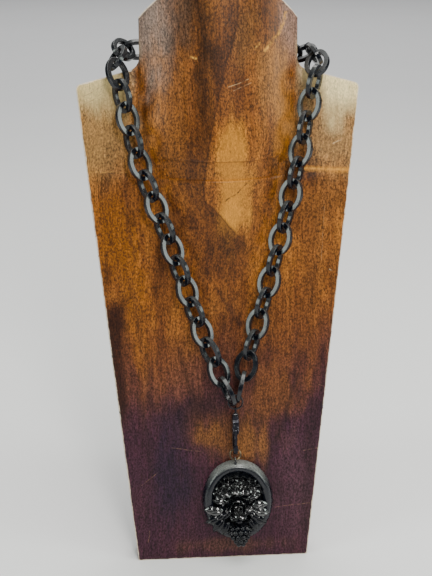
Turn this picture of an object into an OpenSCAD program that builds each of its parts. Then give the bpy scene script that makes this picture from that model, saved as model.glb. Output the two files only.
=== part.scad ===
// Vulcanite link necklace with a carved flower pendant, lying on a leaning wooden neck bust.
// Millimetres, +Z up. The bust faces -Y and stands on z = 0.
// Everything is laid out on an upright bust first, with its chest on y = 0 and its foot on z = 0,
// and is then leaned back as one.

/* [Neck bust] */
// Width across the shoulders
shoulder_w = 164; // [158:1:168]
// Width along the bottom edge
base_w = 105; // [100:1:110]
// Width of the neck
neck_w = 91; // [89:1:91]
// Height of the shoulder corners, along the board
shoulder_h = 294; // [293:0.5:295]
// Rise of the shoulder line from its corner to the neck
shoulder_rise = 7; // [6:0.5:8]
// Height of the corners of the neck's top, along the board
neck_h = 330.5; // [326:0.5:340]
// Rise of the rounded top of the neck above those corners
crown_rise = 20; // [15:1:24]
// Thickness of the board
board_t = 15; // [15:0.5:15.5]
// How far the round front of the neck stands out of the chest
swell = 18; // [16:0.5:18]
// Height where the round front starts to fall back
swell_from = 275; // [275:1:285]
// Height where it has sunk into the chest
swell_to = 135; // [130:1:135]
// Height of the crease above which the shoulders fall back
crease_h = 245; // [240:1:250]
// Slope of the shoulders above the crease, in degrees
crease_slope = 2.5; // [1:0.5:3]
// Backward lean of the whole bust, in degrees
lean = 11; // [8:0.5:12]

/* [Rear prop] */
// Thickness of the wedge
prop_w = 24; // [16:1:30]
// Height of the wedge
prop_h = 150; // [120:5:180]
// Reach of the wedge behind the front bottom edge
prop_reach = 96; // [92:1:110]

/* [Chain] */
// Number of links
link_count = 44; // [44:1:44]
// Length of a link
link_l = 20; // [19.6:0.1:20]
// Width of a link
link_w = 15; // [14.6:0.1:15]
// Width of the flat rim
link_rim = 2.8; // [2.5:0.1:2.8]
// Thickness of the sheet that the links are cut from
link_t = 2.6; // [2.2:0.1:2.6]
// Softening of the rim's edges
link_soft = 0.45; // [0.2:0.05:0.6]
// Distance from one link's centre to the next where the chain is taut
link_pitch = 13.4; // [13.35:0.05:13.45]
// Tilt of the links that show their face, in degrees
face_roll = 36; // [34:1:38]
// Tilt of the links that stand on edge, in degrees
edge_roll = -51; // [-53:1:-50]

/* [Rings and clip] */
// Ring that joins both ends of the chain, across the middle of its wire
top_ring_d = 8.6; // [8.5:0.05:8.7]
// Wire of that ring
top_ring_wire = 1; // [0.9:0.05:1]
// Backward lean of the clip
clip_lean = 7; // [6.5:0.5:7.5]
// Length of the hook below the bow
hook_l = 29.4; // [29.3:0.05:29.5]
// Width of the snap lever
lever_w = 1.6; // [1.4:0.1:1.6]
// Jump ring, across the middle of its wire
jump_ring_d = 6.6; // [6.5:0.05:6.7]
// Wire of the jump ring
jump_ring_wire = 1; // [0.9:0.05:1]

/* [Pendant] */
// Width of the oval
oval_w = 44; // [43.8:0.1:44.2]
// Height of the oval
oval_l = 51.5; // [51.3:0.1:51.7]
// Width of the domed rim
rim_w = 7.4; // [7.2:0.1:7.4]
// Thickness at the top of the rim
rim_t = 6.9; // [6.7:0.1:6.9]
// Thickness of the recessed floor
floor_t = 2.4; // [2.2:0.1:2.4]
// Sideways tilt of the pendant
pendant_turn = 3.5; // [3:0.5:4]

/* [Hidden] */
$fn = 64;

// A link's name, from link_01 on
function link_name(i) = str("link_", i < 10 ? "0" : "", i);
function unit(v) = v / norm(v);

// Neck front: an arc across, and along the neck a straight, a round and a hollow stretch
front_w = neck_w - 1;
swell_r = (pow(front_w / 2, 2) + pow(swell, 2)) / (2 * swell);
swell_root = 0.3;
fade_len = swell_from - swell_to;
fade_angle = 2 * atan(swell / fade_len);
round_r = 120;
hollow_r = fade_len / sin(fade_angle) - round_r;

// Rounded top of the neck
crown_r = (pow(neck_w / 2, 2) + pow(crown_rise, 2)) / (2 * crown_rise);
crown_z = neck_h + crown_rise - crown_r;

// Fillets where the shoulders meet the neck
shoulder_foot = shoulder_h + shoulder_rise;
neck_fillet = 8;
corner_r = 3;

// Foremost point of the necklace on the leaning bust, which sets the middle of the whole in y
front_y = -8.3;

// Run of the chain, from the ring under the wearer's right side, over both shoulders, back to the ring.
// Columns: across, depth, height, outward side (0 front, 90 up, 180 back), extra tilt of the links in
// degrees, and the slack taken off the pitch where the chain lies loose or bends.
chain_run = [
    [5.1, -9.6, 106.4, 0, -36, 1.0],
    [-2.4, -8, 124.2, 0, 0, 0.2],
    [-12.6, -7.2, 150, 0, 0, 0.2],
    [-20.8, -7.6, 174.5, 0, 0, 0.2],
    [-28.8, -8.2, 199, 0, 0, 0.2],
    [-37.6, -8.8, 224, 0, 0, 0.2],
    [-44.2, -8, 241.5, 0, 0, 0.2],
    [-49.8, -7.1, 261, 0, 0, 0.2],
    [-53.6, -6.6, 278.6, 0, 0, 0.2],
    [-56.4, -6.8, 291.2, 0, 0, 0.5],
    [-58.8, -3, 303.2, 40, 0, 0.7],
    [-57.8, 6.8, 311.2, 80, 12, 0.7],
    [-53.2, 18.4, 315, 120, 36, 0.7],
    [-42.2, 26, 313.4, 160, 74, 0.6],
    [-29, 25.8, 310.6, 180, 102, 0.3],
    [-3, 24.4, 307.6, 180, 122, 0.3],
    [23.4, 26.4, 309.6, 180, 139, 0.3],
    [36.4, 27.2, 311, 160, 136, 0.8],
    [48.8, 22.8, 311.4, 120, 112, 1.0],
    [55.4, 11.2, 310.8, 90, 92, 0.8],
    [56.6, -1.6, 307.8, 60, 80, 1.0],
    [54.9, -9, 297.6, 20, 84, 1.1],
    [51.8, -7.4, 285.4, 0, 90, 0.2],
    [50.4, -7.4, 277, 0, 90, 0.2],
    [45.6, -8.6, 252.5, 0, 90, 0.2],
    [40.4, -8, 228, 0, 90, 0.2],
    [34.4, -7.2, 202.5, 0, 90, 0.2],
    [28, -7, 177.5, 0, 90, 0.2],
    [21.2, -7, 152.8, 0, 90, 0.2],
    [14.6, -7.2, 128.5, 0, 84, 0.2],
    [9.2, -8.6, 106.8, 0, 50, 0.2]
];

// The run as a smooth curve through its rows, cut into short steps
steps = 10;
legs = len(chain_run) - 1;
function row(i) = chain_run[max(0, min(legs, i))];
function smooth(a, b, c, d, t) =
    b + t * (c - a) / 2 + t * t * (2 * a - 5 * b + 4 * c - d) / 2 + t * t * t * (3 * b - 3 * c + d - a) / 2;
run_points = [
    for (i = [0:legs - 1], k = [0:steps - 1]) smooth(row(i - 1), row(i), row(i + 1), row(i + 2), k / steps),
    chain_run[legs]
];
function place(p) = [p[0], p[1], p[2]];
run_length = [
    for (i = 0, s = 0; i < len(run_points);
         i = i + 1, s = i < len(run_points) ? s + norm(place(run_points[i]) - place(run_points[i - 1])) : s) s
];
function column(c) = [for (i = [0:len(run_points) - 1]) [run_length[i], run_points[i][c]]];
run_x = column(0);
run_y = column(1);
run_z = column(2);
run_side = column(3);
run_tilt = column(4);
run_slack = column(5);
function at(s) = [lookup(s, run_x), lookup(s, run_y), lookup(s, run_z)];

// Where each link takes hold of the next along the run, one pitch in a straight line from the last
function pitch_at(s) = link_pitch - lookup(s, run_slack);
function next_hold(s) = let (p = pitch_at(s + link_pitch / 2)) s + pow(p, 2) / norm(at(s + p) - at(s));
holds = [for (i = 0, s = 0; i <= link_count; i = i + 1, s = next_hold(s)) s];

// A link's centre, its long axis, the direction across it and its face
function hold_point(i) = at(holds[i]);
function link_centre(i) = (at(holds[i]) + at(holds[i + 1])) / 2;
function link_axis(i) = unit(at(holds[i + 1]) - at(holds[i]));
function link_middle(i) = (holds[i] + holds[i + 1]) / 2;
function outward(i) =
    let (a = lookup(link_middle(i), run_side), o = [0, -cos(a), sin(a)], d = link_axis(i))
    unit(o - (o * d) * d);
function link_roll(i) = lookup(link_middle(i), run_tilt) + (i % 2 == 0 ? edge_roll : face_roll);
function link_face(i) =
    let (o = outward(i), d = link_axis(i)) o * cos(link_roll(i)) + cross(d, o) * sin(link_roll(i));
function link_frame(i) = [link_centre(i), link_axis(i), cross(link_face(i), link_axis(i)), link_face(i)];

// Rings and clip. The bow hangs in the top ring and the jump ring on the hook
bow_d = 3.3;
bow_wire = 1.1;
top_ring_at = [7.5, -9, 105.2];
bow_at = top_ring_at - [0, 0, top_ring_d / 2 + 0.45];
jump_ring_at = [7.5, -5.6, 74 - jump_ring_d / 2];

// Side of the hook, its front to the left: the lever's hinge and the mouth that the lever closes
hinge = [-2.6, -13];
mouth_top = -14.7;
mouth_low = -22.8;

// Pendant: middle of its back, and foot of the domed rim
pendant_at = [9.2, -0.3, 39.7];
dome_foot = 1.2;

// Carved spray. Columns: across, up, out
florets = [
    [-11.4, 6.4, 4.2], [-9.4, 10.6, 4.3], [-5.4, 13, 4.4], [-0.8, 13.8, 4.6],
    [3.8, 13, 4.4], [8, 11, 4.3], [11, 7.2, 4.2], [-6.4, 8, 4.8], [-1.4, 9.2, 5.2], [4, 8.4, 4.8]
];
// Columns: across, up, out, turn, half length, half width
leaves = [
    [-11.5, 0.8, 4.8, -78, 4.6, 1.9], [-14.8, -4, 7.7, -96, 5, 2], [-12.8, -8, 7.2, -118, 4.6, 1.9],
    [-9, -8.2, 6, -130, 4.4, 2], [10.2, 2, 4.8, 70, 4.6, 2], [13.4, -2.2, 7.6, 92, 5.2, 2.1],
    [14, -7, 7.8, 108, 5.2, 2], [10.2, -10, 7, 130, 4.8, 1.9], [8.4, -6, 6, 112, 4.6, 2.2]
];
// Columns: across, up, out, radius
berries = [
    [-4.8, -17, 7.6, 1.7], [-1.8, -16.6, 8.3, 1.8], [1.4, -16.8, 8.3, 1.8], [4.2, -17.4, 7.6, 1.7],
    [-6, -19.4, 8.4, 1.6], [-3.2, -19, 9.2, 1.8], [-0.2, -18.8, 9.8, 1.9], [2.8, -19.2, 9.2, 1.8],
    [5.4, -19.8, 8.4, 1.6], [-4.8, -22, 8.9, 1.7], [-1.8, -21.8, 9.8, 1.8], [1.2, -21.8, 9.8, 1.8],
    [4, -22.2, 8.9, 1.7], [-3.2, -24.6, 8.6, 1.7], [-0.4, -24.6, 9.2, 1.8], [2.4, -24.8, 8.6, 1.7],
    [-1.8, -26.8, 8, 1.7], [1, -27, 8, 1.7]
];

// Moves a piece laid out on its own axes to a place with the given three directions
module placed(at, x_dir, y_dir, z_dir)
    multmatrix([
        [x_dir[0], y_dir[0], z_dir[0], at[0]],
        [x_dir[1], y_dir[1], z_dir[1], at[1]],
        [x_dir[2], y_dir[2], z_dir[2], at[2]],
        [0, 0, 0, 1]
    ]) children();

// Leans the upright layout back and centres the whole on the origin
module leaned() translate([0, -(prop_reach + front_y) / 2, 0]) rotate([-lean, 0, 0]) children();

module board_outline() {
    hull() {
        for (side = [-1, 1]) {
            translate([side * (shoulder_w / 2 - corner_r), shoulder_h - corner_r]) circle(corner_r);
            translate([side * (base_w / 2 - corner_r), -10]) circle(corner_r);
        }
        translate([-neck_w / 2 - neck_fillet, 0]) square([neck_w + 2 * neck_fillet, shoulder_foot]);
    }
    difference() {
        translate([-neck_w / 2 - neck_fillet, 0])
            square([neck_w + 2 * neck_fillet, shoulder_foot + neck_fillet]);
        for (side = [-1, 1])
            translate([side * (neck_w / 2 + neck_fillet), shoulder_foot + neck_fillet]) circle(neck_fillet);
    }
    intersection() {
        translate([-neck_w / 2, 0]) square([neck_w, neck_h + crown_rise]);
        translate([0, crown_z]) circle(crown_r);
    }
}

// Section of the neck's round front, its foremost point on the origin
module swell_section(depth) {
    intersection() {
        translate([-swell_r, 0]) circle(swell_r);
        translate([-depth, -neck_w / 2]) square([depth, neck_w]);
    }
}

module neck_front() {
    intersection() {
        translate([0, -swell, swell_from]) rotate([0, 0, -90])
            linear_extrude(neck_h + crown_rise - swell_from) swell_section(swell + swell_root);
        translate([0, 2 * board_t, crown_z]) rotate([90, 0, 0]) cylinder(r = crown_r, h = 4 * board_t);
    }
    translate([0, round_r - swell, swell_from]) rotate([-90, 0, -90])
        rotate_extrude(angle = fade_angle) translate([round_r, 0]) swell_section(swell + swell_root);
    translate([0, -hollow_r, swell_to]) rotate([90, 0, 90])
        rotate_extrude(angle = fade_angle) translate([hollow_r, 0]) mirror([1, 0])
            swell_section(board_t - 0.2);
}

module board() {
    cut = 60;
    difference() {
        translate([0, board_t, 0]) rotate([90, 0, 0]) linear_extrude(board_t) board_outline();
        for (side = [-1, 1])
            translate([side * (neck_w / 2 + cut), 0, crease_h]) rotate([-crease_slope, 0, 0])
                translate([-cut, -cut, 0]) cube([2 * cut, cut, 2 * cut]);
    }
}

module bust() {
    ground = 400;
    color("saddlebrown") difference() {
        leaned() {
            board();
            neck_front();
        }
        translate([-ground / 2, -ground / 2, -ground]) cube(ground);
    }
}

module rear_prop() {
    back = board_t / cos(lean);
    cap = 8;
    toe = 12;
    color("saddlebrown")
        translate([-prop_w / 2, -(prop_reach + front_y) / 2, 0]) rotate([90, 0, 90]) linear_extrude(prop_w)
            polygon([
                [back, 0], [back + prop_h * tan(lean), prop_h], [back + cap + prop_h * tan(lean), prop_h],
                [prop_reach, toe], [prop_reach, 0]
            ]);
}

// An oval of four arcs, long side along x, whose middle line reaches this far along and across.
// The arcs meet on lines that climb 4 for every 3 across, so that each centre is a whole number of
// these steps from the middle.
function oval_step(along, across) = (along - across) / 2;

// One arc of the oval: the section turned about its centre and kept between two rays
module oval_arc(centre, r, ray_a, ray_b) {
    intersection() {
        translate(centre) rotate([0, 0, 180]) rotate_extrude() translate([r, 0]) children();
        translate([0, 0, -20]) linear_extrude(40)
            polygon([centre, centre + 10 * ray_a, centre + 10 * ray_b]);
    }
}

// The section given as the child runs along the oval, across in x and up in y
module oval_sweep(along, across) {
    step = oval_step(along, across);
    for (turn = [0, 180]) rotate([0, 0, turn]) {
        oval_arc([3 * step, 0], across - step, [3, -4], [3, 4]) children();
        oval_arc([0, -4 * step], across + 4 * step, [3, 4], [-3, 4]) children();
    }
}

// A plate whose edge lies under that section
module oval_plate(along, across) {
    step = oval_step(along, across);
    for (side = [-1, 1]) translate([side * 3 * step, 0]) circle(across - step);
    intersection() {
        for (side = [-1, 1]) translate([0, side * 4 * step]) circle(across + 4 * step);
        translate([-3 * step, -across]) square([6 * step, 2 * across]);
    }
}

// An oval link flat on its face, long side along x
module oval_link() {
    w = link_rim / 2;
    t = link_t / 2;
    oval_sweep((link_l - link_rim) / 2, (link_w - link_rim) / 2) polygon([
        [-w, link_soft - t], [link_soft - w, -t], [w - link_soft, -t], [w, link_soft - t],
        [w, t - link_soft], [w - link_soft, t], [link_soft - w, t], [-w, t - link_soft]
    ]);
}

module chain_link(i) {
    f = link_frame(i - 1);
    color("dimgray") leaned() placed(f[0], f[1], f[2], f[3]) oval_link();
}

// A wire ring that faces the viewer
module ring(d, wire) rotate([90, 0, 0]) rotate_extrude() translate([d / 2, 0]) circle(d = wire);

module top_ring() color("darkslategray") leaned() translate(top_ring_at) ring(top_ring_d, top_ring_wire);

module jump_ring() color("darkkhaki") leaned() translate(jump_ring_at) ring(jump_ring_d, jump_ring_wire);

// The clip on its own axes: the middle of the bow on the origin, the hook hanging down, mouth to the front
module in_clip() leaned() translate(bow_at) rotate([clip_lean, 0, 0]) children();

module swivel_bow() color("dimgray") in_clip() {
    rotate([0, 0, 90]) ring(bow_d, bow_wire);
    translate([0, 0, -3.1]) cylinder(d = 3, h = 1);
    translate([0, 0, -7]) cylinder(d = 1.2, h = 4.4);
    translate([0, 0, -7.4]) cylinder(d = 1.9, h = 0.8);
}

module hook_side() {
    difference() {
        union() {
            hull() {
                translate([0, -8.6]) circle(3.2);
                translate([0, 4.5 - hook_l]) circle(4.5);
            }
            translate(hinge) circle(1.9);
        }
        hull() {
            translate([0, -12]) circle(1.6);
            translate([0, 4.5 - hook_l]) circle(2.7);
        }
        translate([-6, mouth_low]) square([4.8, mouth_top - mouth_low]);
    }
}

module snap_hook() color("dimgray") in_clip() {
    difference() {
        union() {
            intersection() {
                rotate([90, 0, 90]) translate([0, 0, -2.2]) linear_extrude(4.4) hook_side();
                rotate([90, 0, 0]) translate([0, 0, -6]) linear_extrude(12)
                    polygon([[-2, -5], [2, -5], [1.8, -13], [1.1, -30], [-1.1, -30], [-1.8, -13]]);
            }
            translate([0, 0, -6.5]) cylinder(d = 4, h = 3.2);
        }
        translate([0, 0, -14]) cylinder(d = 2.3, h = 7.6);
        translate([0, 0, -8]) cylinder(d = 1.5, h = 6);
        translate([-lever_w / 2 - 0.15, -6, -15]) cube([lever_w + 0.3, 5.1, 3.7]);
    }
    translate([-2, hinge[0], hinge[1]]) rotate([0, 90, 0]) cylinder(d = 1.2, h = 4);
}

module snap_lever() color("gray") in_clip()
    rotate([90, 0, 90]) translate([0, 0, -lever_w / 2]) linear_extrude(lever_w) difference() {
        union() {
            translate(hinge) circle(1.35);
            polygon([
                [-3.7, -13.6], [-4.15, mouth_low + 0.2], [-2.35, mouth_low + 0.2], [-2.35, mouth_low - 1.3],
                [-1.5, mouth_low - 1.3], [-1.7, -20], [-1.7, -13.6]
            ]);
        }
        translate(hinge) circle(0.7);
    }

// The pendant on its own axes: the middle of its back on the origin, the front towards -Y
module in_pendant() leaned() translate(pendant_at) rotate([0, -pendant_turn, 0]) children();

module pendant_frame() color("black") in_pendant() {
    along = (oval_l - rim_w) / 2;
    across = (oval_w - rim_w) / 2;
    rotate([0, 90, 0]) rotate([90, 0, 0]) {
        oval_sweep(along, across) polygon(concat(
            [[-rim_w / 2, 0], [rim_w / 2 - 1, 0]],
            [for (a = [0:15:180]) [rim_w / 2 * cos(a), dome_foot + (rim_t - dome_foot) * sin(a)]]
        ));
        linear_extrude(floor_t) oval_plate(along, across);
    }
    translate([0, -4.8, oval_l / 2 - 2.4]) cylinder(r = 0.8, h = 2.9);
    translate([0, -5.3, oval_l / 2 + 1.7]) rotate([0, 0, 90]) ring(2.8, 0.8);
}

// A low rounded lump on the pendant, across and up its face, this far out, turned about the face's axis
module lump(across, up, out, size, turn = 0, dip = 0)
    translate([across, -out, up]) rotate([0, turn, 0]) rotate([dip, 0, 0])
        hull() scale(size) rotate([13, 7, 11]) sphere(1, $fn = 8);

module floret(across, up, out) {
    for (k = [0:4])
        translate([across, 0, up]) rotate([0, 72 * k, 0]) lump(0, 1.7, out, [1.3, 0.9, 1.5], 0, 20);
    lump(across, up, out, [1.3, 1.5, 1.3]);
    lump(across, up, out - 0.6, [2.6, 1, 2.6]);
}

module bloom(across, up) {
    translate([across, 0, up]) {
        for (k = [0:6])
            rotate([0, 360 / 7 * k, 0]) lump(0, 5.6, 5.4, [2.9, 1.1, 3.2], 0, 24);
        for (k = [0:4])
            rotate([0, 72 * k + 20, 0]) lump(0, 3.4, 6.8, [2.2, 1.1, 2.4], 0, 38);
        for (k = [0:2])
            rotate([0, 120 * k, 0]) lump(0, 1.4, 8, [1.4, 1, 1.4], 0, 50);
        lump(0, 0, 6.4, [4.4, 2.6, 4.4]);
    }
}

module flower_spray() color("black") in_pendant() {
    translate([0, -floor_t - 0.1, 0]) rotate([90, 0, 0]) linear_extrude(2.1)
        scale([13.4, 15.8]) circle(1, $fn = 32);
    for (f = florets) floret(f[0], f[1], f[2]);
    bloom(-0.6, -3.6);
    for (l = leaves) lump(l[0], l[1], l[2], [l[5], 0.8, l[4]], l[3]);
    for (k = [0:len(berries) - 1]) {
        b = berries[k];
        lump(b[0], b[1], b[2], [1, 1, 1] * b[3], 37 * k, 23 * k);
    }
    lump(-0.4, -13.4, 5.6, [2.8, 2.6, 4.2]);
    for (side = [-1, 1]) lump(0.2 + 10.2 * side, -4.6, 5.6, [2.8, 2.6, 5]);
}

bust();
rear_prop();
for (i = [1:link_count])
    chain_link(i);
top_ring();
swivel_bow();
snap_hook();
snap_lever();
jump_ring();
pendant_frame();
flower_spray();
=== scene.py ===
"""Dresses the vulcanite link necklace and the leaning wooden neck bust that carries it."""
import logging
import math
from collections.abc import Callable, Iterable, Sequence
from dataclasses import dataclass, field
from enum import Enum

import bmesh
import bpy
import numpy as np
from mathutils import Matrix, Vector, noise
from mathutils.bvhtree import BVHTree
from mathutils.kdtree import KDTree


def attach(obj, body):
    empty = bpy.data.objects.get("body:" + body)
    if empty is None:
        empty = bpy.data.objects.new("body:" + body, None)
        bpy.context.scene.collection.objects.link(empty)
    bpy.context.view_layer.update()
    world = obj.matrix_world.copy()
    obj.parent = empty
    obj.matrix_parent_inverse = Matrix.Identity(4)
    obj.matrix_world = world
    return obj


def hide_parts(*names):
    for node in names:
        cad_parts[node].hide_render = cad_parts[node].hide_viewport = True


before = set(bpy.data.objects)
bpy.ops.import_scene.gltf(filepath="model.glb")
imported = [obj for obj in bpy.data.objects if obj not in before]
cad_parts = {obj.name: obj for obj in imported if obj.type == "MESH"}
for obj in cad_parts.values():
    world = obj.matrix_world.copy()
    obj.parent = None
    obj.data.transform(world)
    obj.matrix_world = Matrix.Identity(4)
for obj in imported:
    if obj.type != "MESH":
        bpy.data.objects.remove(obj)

LOG = logging.getLogger("necklace")
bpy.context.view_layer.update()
MM = 0.001
MAIN_BODY = "necklace_on_bust"
LEVER_BODY = "lever"
Pair = tuple[float, float]
Triple = tuple[float, float, float]
Colour = Triple
Socket = bpy.types.NodeSocket
NodeTree = bpy.types.NodeTree
Material = bpy.types.Material
Mesh = bpy.types.Mesh
Shape = bmesh.types.BMesh
# Points nearer to each other than this, in metres, are one point
MERGE = 1e-6

# The whole is laid out upright, chest on y = 0, and leans back as one
LEAN_DEGREES = 11.0
LEAN_SHIFT = -43.85 * MM
LEAN = Matrix.Translation((0.0, LEAN_SHIFT, 0.0)) @ Matrix.Rotation(math.radians(-LEAN_DEGREES), 4, "X")


def at_mm(x: float, y: float, z: float) -> Matrix:
    """Moves by this many millimetres."""
    return Matrix.Translation((x * MM, y * MM, z * MM))


def turned(degrees: float, axis: str) -> Matrix:
    """Turns by this many degrees about a named axis."""
    return Matrix.Rotation(math.radians(degrees), 4, axis)


def sized(x: float, y: float, z: float) -> Matrix:
    """Scales by this much along each axis."""
    return Matrix.Diagonal((x, y, z, 1.0))


def new_object(name: str, data: bpy.types.ID) -> bpy.types.Object:
    """Puts a new object into the scene."""
    thing = bpy.data.objects.new(name, data)
    bpy.context.scene.collection.objects.link(thing)
    return thing


class Slot(Enum):
    """The record's material slots."""

    BUST = "bust_wood"
    PROP = "prop_wood"
    VULCANITE = "vulcanite"
    WIRE = "dark_wire"
    CLIP = "clip_steel"
    BRASS = "brass_wire"
    FRAME = "pendant_frame"
    RELIEF = "pendant_relief"


class Graph:
    """Adds nodes to one node tree and joins them."""

    def __init__(self, tree: NodeTree) -> None:
        """Takes the tree that the nodes go into."""
        self.tree = tree

    def feed(self, node: bpy.types.Node, inputs: dict) -> None:
        """Links a node's inputs to other sockets, or sets their own values.

        Args:
            node: the node that is fed.
            inputs: what each input, by name or number, is fed: a socket, a number, a colour or a vector.
        """
        for name, value in inputs.items():
            socket = node.inputs[name]
            if isinstance(value, Socket):
                self.tree.links.new(value, socket)
            elif socket.type == "RGBA" and len(value) == 3:
                socket.default_value = (*value, 1.0)
            else:
                socket.default_value = value

    def add(self, kind: str, inputs: dict | None = None, **settings: object) -> bpy.types.Node:
        """Makes one node.

        Args:
            kind: the node's type name.
            inputs: what each input, by name or number, is fed.
            settings: the node's own properties.

        Returns:
            The node.
        """
        node = self.tree.nodes.new(kind)
        for name, value in settings.items():
            setattr(node, name, value)
        self.feed(node, inputs or {})
        return node

    def math(self, operation: str, *values: object, clamp: bool = False) -> Socket:
        """One step of arithmetic, taken again with each further value after the second."""
        total = values[0]
        for value in values[1:] or (0.0,):
            total = self.add("ShaderNodeMath", {0: total, 1: value}, operation=operation, use_clamp=clamp).outputs[0]
        return total

    def times(self, *values: object) -> Socket:
        """The product of some values."""
        return self.math("MULTIPLY", *values)

    def plus(self, *values: object) -> Socket:
        """The sum of some values."""
        return self.math("ADD", *values)

    def minus(self, a: object, b: object) -> Socket:
        """One value less another."""
        return self.math("SUBTRACT", a, b)

    def most(self, *values: object) -> Socket:
        """The largest of some values."""
        return self.math("MAXIMUM", *values)

    def mix(self, factor: object, a: object, b: object, blend: str = "MIX") -> Socket:
        """Mixes two colours."""
        return self.add("ShaderNodeMix", {0: factor, 6: a, 7: b}, data_type="RGBA", blend_type=blend).outputs[2]

    def vector(self, operation: str, a: object, b: object) -> Socket:
        """One step of vector arithmetic, whose output is a value where the step gives one."""
        node = self.add("ShaderNodeVectorMath", {0: a, 1: b}, operation=operation)
        return node.outputs[1 if operation in ("DOT_PRODUCT", "DISTANCE") else 0]

    def scaled(self, vector: Socket, size: Socket) -> Socket:
        """A vector or a colour times a value."""
        return self.add("ShaderNodeVectorMath", {0: vector, "Scale": size}, operation="SCALE").outputs[0]

    def axes(self, vector: Socket) -> Sequence[Socket]:
        """The three parts of a vector or a colour."""
        return self.add("ShaderNodeSeparateXYZ", {0: vector}).outputs

    def noise(self, vector: Socket, scale: object, detail: float = 3.0, rough: float = 0.55,
              bend: float = 0.0) -> Socket:
        """A noise value from 0 to 1 at this many waves to the metre."""
        sockets = {"Vector": vector, "Scale": scale, "Detail": detail, "Roughness": rough, "Distortion": bend}
        return self.add("ShaderNodeTexNoise", sockets).outputs[0]

    def cloud(self, vector: Socket, scale: float, detail: float) -> Socket:
        """Three noise values at once, as a colour."""
        return self.add("ShaderNodeTexNoise", {"Vector": vector, "Scale": scale, "Detail": detail}).outputs["Color"]

    def span(self, value: object, low: object, high: object, start: object = 0.0, end: object = 1.0) -> Socket:
        """Eases a value from one range into another and holds it at the ends."""
        sockets = {0: value, 1: low, 2: high, 3: start, 4: end}
        return self.add("ShaderNodeMapRange", sockets, interpolation_type="SMOOTHSTEP").outputs[0]

    def ramp(self, factor: Socket, stops: Sequence[tuple[float, Colour]]) -> Socket:
        """Turns a value into a colour through a few stops."""
        node = self.add("ShaderNodeValToRGB", {0: factor})
        elements = node.color_ramp.elements
        while len(elements) < len(stops):
            elements.new(1.0)
        for element, (place, colour) in zip(elements, stops):
            element.position = place
            element.color = (*colour, 1.0)
        return node.outputs[0]

    def stretch(self, vector: Socket, scale: Colour) -> Socket:
        """Scales a pattern's coordinates along each axis."""
        return self.add("ShaderNodeMapping", {"Vector": vector, "Scale": scale}).outputs[0]

    def place(self) -> Socket:
        """The object's own coordinates, in metres."""
        return self.add("ShaderNodeTexCoord").outputs["Object"]

    def upright(self) -> Socket:
        """The object's coordinates on the upright layout: across, depth and height."""
        sockets = {"Vector": self.place(), "Location": (0.0, LEAN_SHIFT, 0.0),
                   "Rotation": (math.radians(-LEAN_DEGREES), 0.0, 0.0)}
        return self.add("ShaderNodeMapping", sockets, vector_type="TEXTURE").outputs[0]

    def group(self, tree: NodeTree, **inputs: object) -> bpy.types.NodeOutputs:
        """Places a node group with its own values and gives its outputs."""
        fed = {name.capitalize(): value for name, value in inputs.items()}
        return self.add("ShaderNodeGroup", fed, node_tree=tree).outputs

    def bump(self, height: Socket, strength: float, distance: float) -> Socket:
        """A normal that follows a height, with the distance in metres."""
        return self.add("ShaderNodeBump", {"Height": height, "Strength": strength, "Distance": distance}).outputs[0]

    def wear(self) -> Socket:
        """How worn the surface is, from the mesh's own attribute; on the wood and the links it also places a painted
        edge highlight.
        """
        return self.add("ShaderNodeAttribute", attribute_name="wear").outputs["Fac"]


def new_group(name: str, outputs: Sequence[str] = ("Mask",),
              **inputs: object) -> tuple[Graph, Socket, Callable, Callable]:
    """Starts a node group that works from a place.

    Args:
        name: the group's name.
        outputs: the names of the values it gives.
        inputs: each further input's name and value, a number or a vector.

    Returns:
        Its graph, the place, a function that finds an input and one that feeds an output.
    """
    tree = bpy.data.node_groups.new(name, "ShaderNodeTree")
    for label, value in {"vector": (0.0, 0.0, 0.0), **inputs}.items():
        kind = "NodeSocketVector" if isinstance(value, tuple) else "NodeSocketFloat"
        socket = tree.interface.new_socket(name=label.capitalize(), in_out="INPUT", socket_type=kind)
        socket.default_value = value
    for label in outputs:
        tree.interface.new_socket(name=label, in_out="OUTPUT", socket_type="NodeSocketFloat")
    graph, entry, leave = Graph(tree), tree.nodes.new("NodeGroupInput").outputs, tree.nodes.new("NodeGroupOutput")
    return graph, entry["Vector"], lambda label: entry[label], lambda label, value: graph.feed(leave, {label: value})


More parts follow.
